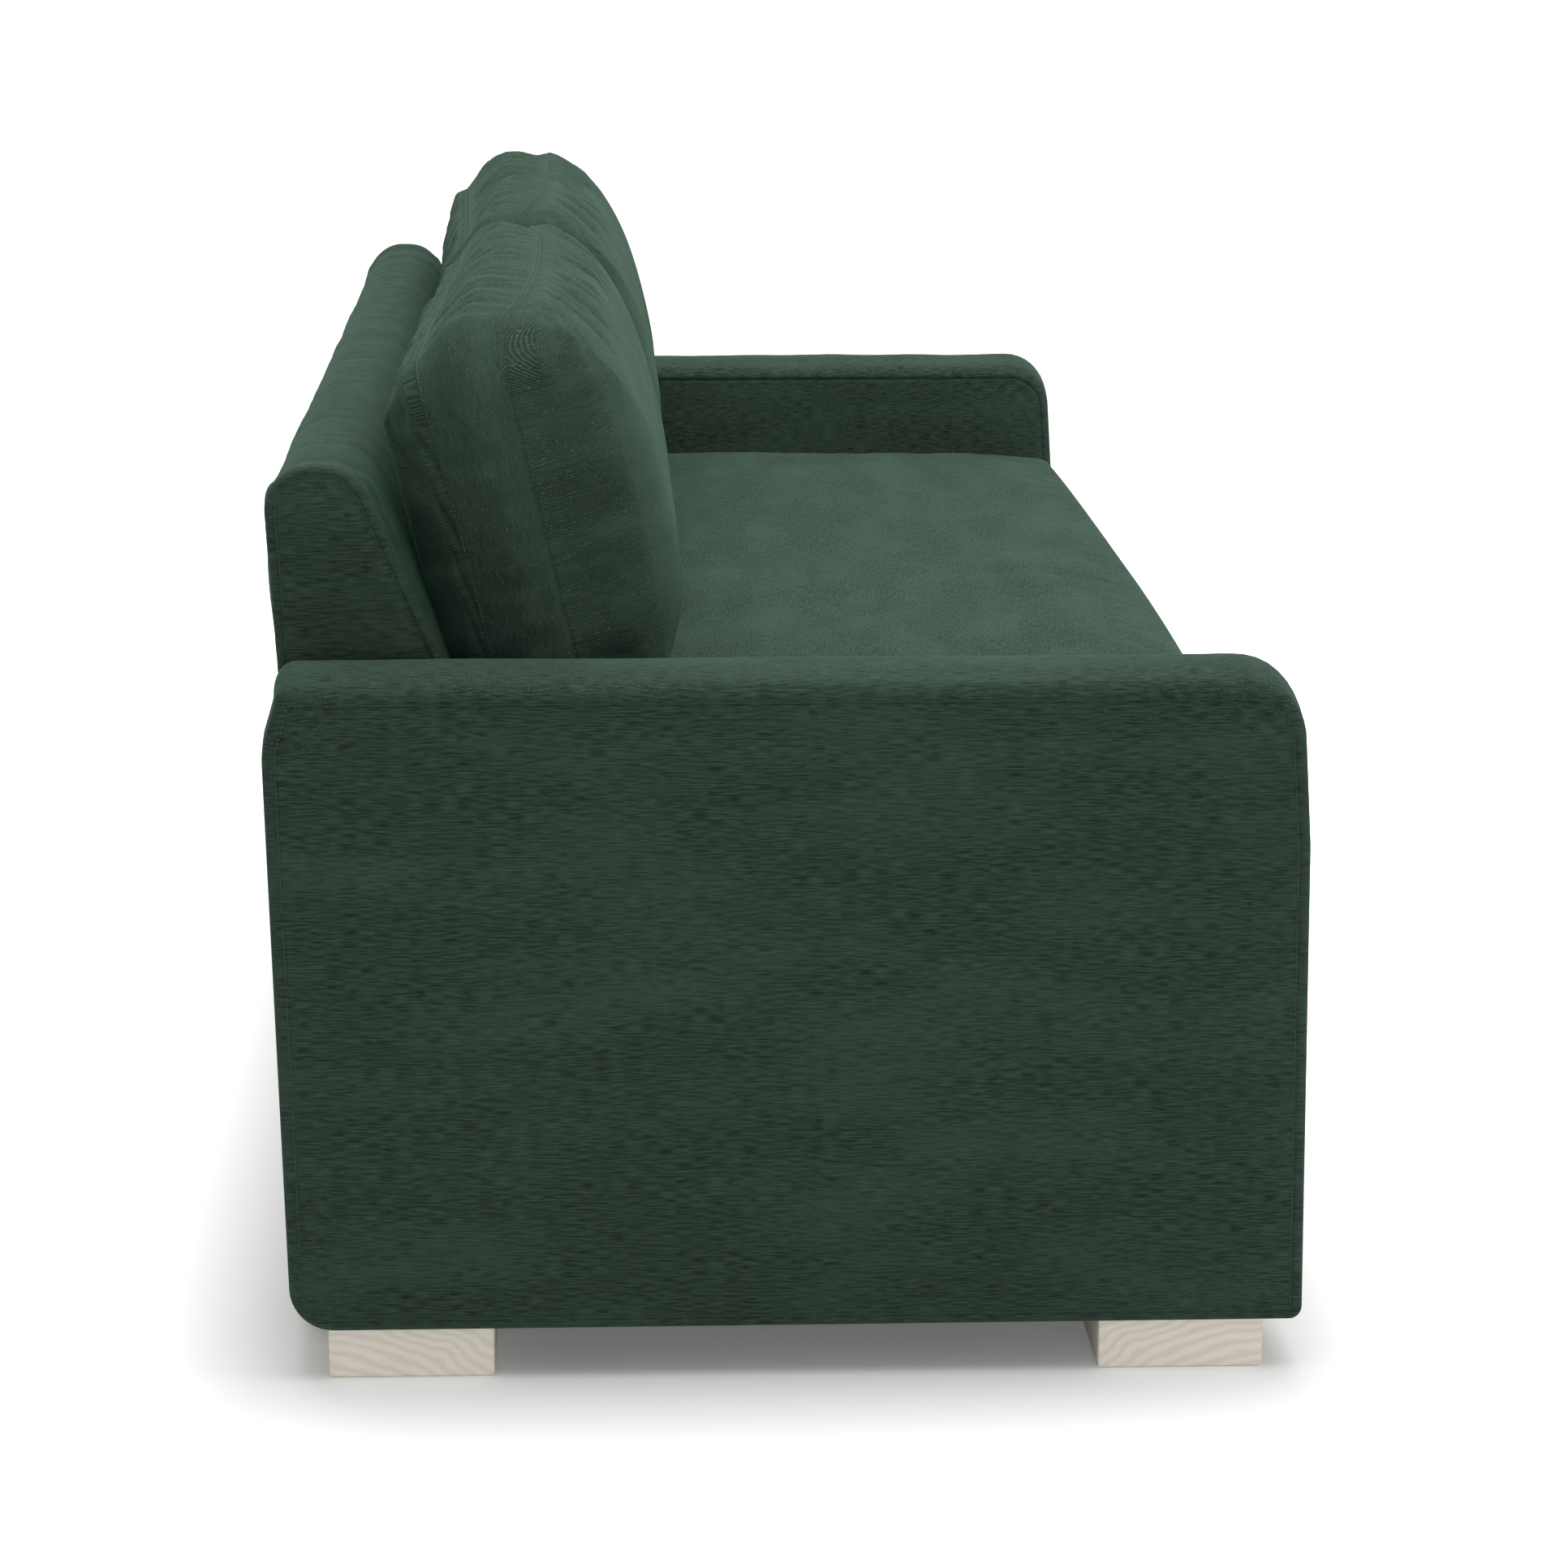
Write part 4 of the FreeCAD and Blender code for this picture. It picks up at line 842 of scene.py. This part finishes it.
def build_mattress():
    """The long seat: a crowned top with slow waves, rolled edges and a boxing strip."""
    low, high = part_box("seat_mattress")
    rear = high.y - 1 * MM
    corners = [(low.x, low.y), (high.x, low.y), (high.x, rear), (low.x, rear)]
    radii = [v * MM for v in (26, 26, 12, 12)]
    pad = Pad(corners, radii, straight=(190, 60, 190, 60), turn=7)
    along = pad.arc[:-1]
    front_share = np.clip(-pad.normals[:, 1], 0, 1)
    edge_z = high.z - 27 * MM
    deep = (rear - low.y) / 2 - 0.3 * MM
    near_edge = np.linspace(80, 14, 10) * MM
    top_insets = np.concatenate([np.linspace(deep, 90 * MM, 16), near_edge, [8 * MM, 4 * MM]])

    def top_level(inset):
        """The height of the top: crowned, waved, creased at the middle and lower at the front corners."""
        points, _ = rounded_outline(corners, radii, inset, *pad.steps)
        x, y = points[:, 0], points[:, 1]
        wave = (
            ripple(x + 0.35 * y, 71, 260 * MM, 800 * MM) * 2.6
            + ripple(y * 1.1 - 0.3 * x, 73, 160 * MM, 420 * MM) * 1.8
        )
        crease = -3.5 * np.exp(-(((x + 0.04) / (34 * MM)) ** 2)) * np.clip(-y / 0.44, 0, 1) ** 2
        rise = 25 * MM * bulge(inset, 120 * MM)
        front = np.exp(-((y - low.y) / (90 * MM)) ** 2)
        dip = -7 * (x / high.x) ** 6 - 9 * front * (np.abs(x) / high.x) ** 3
        return edge_z + rise + (wave + crease + dip) * MM * min(inset / (70 * MM), 1)

    for inset in (300, 150, 60, 14):
        pad.ring(inset * MM, low.z, "panel")
    pad.ring(4 * MM, low.z + 1.5 * MM, "seam")
    pad.ring(1 * MM, low.z + 6 * MM, "boxing")
    steps = 16
    for k in range(steps + 1):
        t = k / steps
        swell = 4 * MM * math.sin(math.pi * t) * front_share - 1.0 * MM
        slack = ripple(along, 77, 120 * MM, 500 * MM) * 1.0 * MM * math.sin(math.pi * t) * front_share
        pad.ring(0.0, low.z + 10 * MM + (edge_z - low.z - 24 * MM) * t, "boxing", swell + slack)
    pad.ring(1.0 * MM, edge_z - 10 * MM, "boxing")
    pad.ring(2.2 * MM, edge_z - 7 * MM, "seam")
    seam = len(pad.rings) - 1
    pad.ring(1.2 * MM, edge_z - 4 * MM, "seam")
    for inset in top_insets[::-1]:
        pad.ring(inset, top_level(inset), "panel")

    def to_world(p):
        """Draws the upper front edge back towards the arms."""
        x, y, z = p
        edge = np.clip((-y - 0.26) / 0.16, 0, 1) * np.clip((z - low.z - 60 * MM) / (90 * MM), 0, 1)
        slack = 23 * MM * np.clip(-x / high.x, 0, 1) ** 1.6 + 5 * MM * np.clip(x / high.x, 0, 1) ** 4
        return (x, y + slack * edge, z)

    def loose_share(at):
        """Only the top moves; the lower edge and the front face keep their shape."""
        held = 60 * MM
        return np.clip((at.z - low.z - held) / held, 0, 1) * np.clip((at.y - low.y) / 0.1, 0, 1)

    piece = pad.build("mattress_cover", to_world)
    settle(piece, [pad.loop(piece, seam)], 14 * MM, 0.015, 5 * MM, pressure=2.0, keep=loose_share)
    finish_pad(piece, "seat", "seat_mattress")
    finish_stitches(stitch_row("mattress_stitches", [pad.loop(piece, seam)]), "seat")
    close_middle(piece)


def build_flat_pad(name, node, body, face):
    """A thin wadded cover on a board; face is -1 at the sofa's front and 1 at its back."""
    low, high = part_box(node)
    corners = [(low.x, low.z), (high.x, low.z), (high.x, high.z), (low.x, high.z)]
    radii = [6 * MM] * 4
    pad = Pad(corners, radii, straight=(120, 24, 120, 24), turn=5)
    outer, inner = (low.y, high.y) if face < 0 else (high.y, low.y)
    deep = (high.z - low.z) / 2 - 4 * MM
    seam_c = outer - face * 2.5 * MM
    seam_inset = 11 * MM
    for inset in (deep, deep * 0.6, 40 * MM, 10 * MM, 2 * MM):
        pad.ring(inset, inner, "panel")
    pad.ring(0.0, inner + face * 1 * MM, "boxing")
    pad.ring(0.0, seam_c - face * 6 * MM, "boxing")
    outside = Pad(corners, radii, *pad.steps)
    seam = seam_rings(outside, seam_c, face, seam_inset, 5 * MM, np.zeros(pad.count))
    seam = pad.join(outside, seam)
    for inset in (16, 24, 40, 60, 90, 120):
        if inset * MM < deep:
            level = seam_c + face * 2.4 * MM * bulge(inset * MM - seam_inset, 70 * MM)
            pad.ring(inset * MM, level, "panel")
    piece = pad.build(name, lambda p: (p[0], p[2], p[1]))
    finish_pad(piece, body, node)
    finish_stitches(stitch_row(f"{name}_stitches", [pad.loop(piece, seam)]), body)


# ---------------------------------------------------------------- feet and the parts inside


def build_foot(node):
    """A solid block foot with eased edges."""
    easing = 2.2 * MM
    low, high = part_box(node)
    edit = bmesh.new()
    bmesh.ops.create_cube(edit, size=1.0)
    bmesh.ops.scale(edit, vec=high - low, verts=edit.verts)
    bmesh.ops.translate(edit, vec=(high + low) / 2, verts=edit.verts)
    bmesh.ops.bevel(
        edit, geom=list(edit.edges), offset=easing, segments=3, profile=0.5, affect="EDGES", clamp_overlap=True
    )
    mesh = bpy.data.meshes.new(f"{node}_block")
    edit.to_mesh(mesh)
    edit.free()
    mesh.materials.append(FOOT_WOOD)
    piece = bpy.data.objects.new(f"{node}_block", mesh)
    bpy.context.scene.collection.objects.link(piece)
    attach(piece, "base")
    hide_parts(node)


def finish_cad_nodes():
    """Gives every part that stays as it was built the finish of its material slot."""
    slots = {entry["node"]: entry["material_slot"] for entry in frame["record"]["subparts"]}
    for name, thing in frame["nodes"].items():
        thing.data.materials.clear()
        thing.data.materials.append(SLOT_MATERIALS[slots[name]])


# ---------------------------------------------------------------- floor, light, camera


def seen_directly(tree):
    """1 for what the camera sees, straight on, mirrored or through glass; 0 for what lights the sofa."""
    rays = add(tree, "ShaderNodeLightPath")
    mirrored = math_node(tree, "MAXIMUM", rays.outputs["Is Glossy Ray"], rays.outputs["Is Transmission Ray"])
    return math_node(tree, "MAXIMUM", rays.outputs["Is Camera Ray"], mirrored)


def build_stage():
    """A pale floor that keeps the sofa's cast shadow near it, with painted shade added: its glow, seen only by the
    camera, is dimmed round the sofa's footprint, and it is plain white further out.
    """
    size = 14.0
    footprint = (1.05, 0.42, 0.0)
    painted_shade_reach = 0.42
    mesh = bpy.data.meshes.new("floor")
    mesh.from_pydata(
        [(-size, -size, 0), (size, -size, 0), (size, size, 0), (-size, size, 0)], [], [(0, 1, 2, 3)]
    )
    made, tree, shader = material("studio_floor_with_painted_shade", Roughness=0.9, Specular_IOR_Level=0.1)
    shader.inputs["Base Color"].default_value = linear("#EDEDED")
    seen = seen_directly(tree)
    place = add(tree, "ShaderNodeTexCoord").outputs["Object"]
    folded = add(tree, "ShaderNodeVectorMath", {"operation": "ABSOLUTE"}, _0=place).outputs[0]
    past = add(tree, "ShaderNodeVectorMath", {"operation": "SUBTRACT"}, _0=folded, _1=footprint).outputs[0]
    wide = add(tree, "ShaderNodeVectorMath", {"operation": "MULTIPLY"}, _0=past, _1=(1.0, 1.5, 1.0)).outputs[0]
    kept = add(tree, "ShaderNodeVectorMath", {"operation": "MAXIMUM"}, _0=wide, _1=(0.0, 0.0, 0.0)).outputs[0]
    reach = add(tree, "ShaderNodeVectorMath", {"operation": "LENGTH"}, _0=kept).outputs[1]
    # Painted shade: the glow is 0.10 at the footprint and rises to full white 0.42 m out, so the floor darkens
    # round the sofa beyond its cast shadow.
    level = add(tree, "ShaderNodeMapRange", _0=reach, _1=0.0, _2=painted_shade_reach, _3=0.10, _4=1.0).outputs[0]
    white = math_node(tree, "MULTIPLY", seen, level)
    glow_dimmed_for_painted_shade = add(tree, "ShaderNodeEmission", Color=(1, 1, 1, 1), Strength=white)
    both = add(tree, "ShaderNodeAddShader", _0=shader.outputs[0], _1=glow_dimmed_for_painted_shade.outputs[0])
    tree.links.new(both.outputs[0], tree.nodes["Material Output"].inputs[0])
    mesh.materials.append(made)
    floor = bpy.data.objects.new("floor", mesh)
    bpy.context.scene.collection.objects.link(floor)


def build_lights():
    """Soft light from above, two weak fills, and a world that is white only where it is seen."""
    scene = bpy.context.scene
    world = bpy.data.worlds.new("studio")
    scene.world = world
    world.use_nodes = True
    tree = world.node_tree
    back = tree.nodes["Background"]
    seen = seen_directly(tree)
    back.inputs["Color"].default_value = (1, 1, 1, 1)
    strength = add(tree, "ShaderNodeMapRange", _0=seen, _1=0.0, _2=1.0, _3=0.36, _4=1.0)
    tree.links.new(strength.outputs[0], back.inputs["Strength"])

    def lamp(name, place, target, size, power):
        """A rectangular lamp at place, turned to target; power is in watts."""
        light = bpy.data.lights.new(name, "AREA")
        light.shape = "RECTANGLE"
        light.size, light.size_y = size
        light.energy = power
        holder = bpy.data.objects.new(name, light)
        holder.location = place
        holder.rotation_euler = (Vector(target) - Vector(place)).to_track_quat("-Z", "Y").to_euler()
        scene.collection.objects.link(holder)

    lamp("overhead_soft_box", (0.1, -0.2, 3.2), (0.0, 0.0, 0.3), (4.4, 3.6), 124)
    lamp("front_fill", (-0.5, -4.0, 2.0), (0.0, 0.0, 0.4), (3.0, 2.0), 20)
    lamp("end_fill", (-4.6, -0.6, 0.9), (-1.1, 0.0, 0.2), (2.4, 1.2), 18)


def build_camera():
    """Stands past the left end, above the arm, and looks along the sofa."""
    camera = bpy.data.cameras.new("camera")
    camera.lens = 96.3
    camera.shift_x = 0.03
    camera.shift_y = -0.05
    camera.clip_end = 60.0
    holder = bpy.data.objects.new("camera", camera)
    yaw, pitch = 0.0358, 0.2112
    way = Vector((math.cos(pitch) * math.cos(yaw), -math.cos(pitch) * math.sin(yaw), -math.sin(pitch)))
    holder.location = (-4.493, 0.168, 1.327)
    holder.rotation_euler = way.to_track_quat("-Z", "Y").to_euler()
    bpy.context.scene.collection.objects.link(holder)
    bpy.context.scene.camera = holder


bpy.context.scene.view_settings.view_transform = "Standard"
finish_cad_nodes()
for side in SIDES:
    build_arm(side)
    build_cushion(side)
    for row in ("front", "rear"):
        build_foot(f"foot_{row}_{side}")
build_backrest()
build_mattress()
build_flat_pad("fascia_cover", "front_fascia_padding", "seat", -1)
build_flat_pad("rear_panel_cover", "rear_panel_padding", "base", 1)
build_stage()
build_lights()
build_camera()
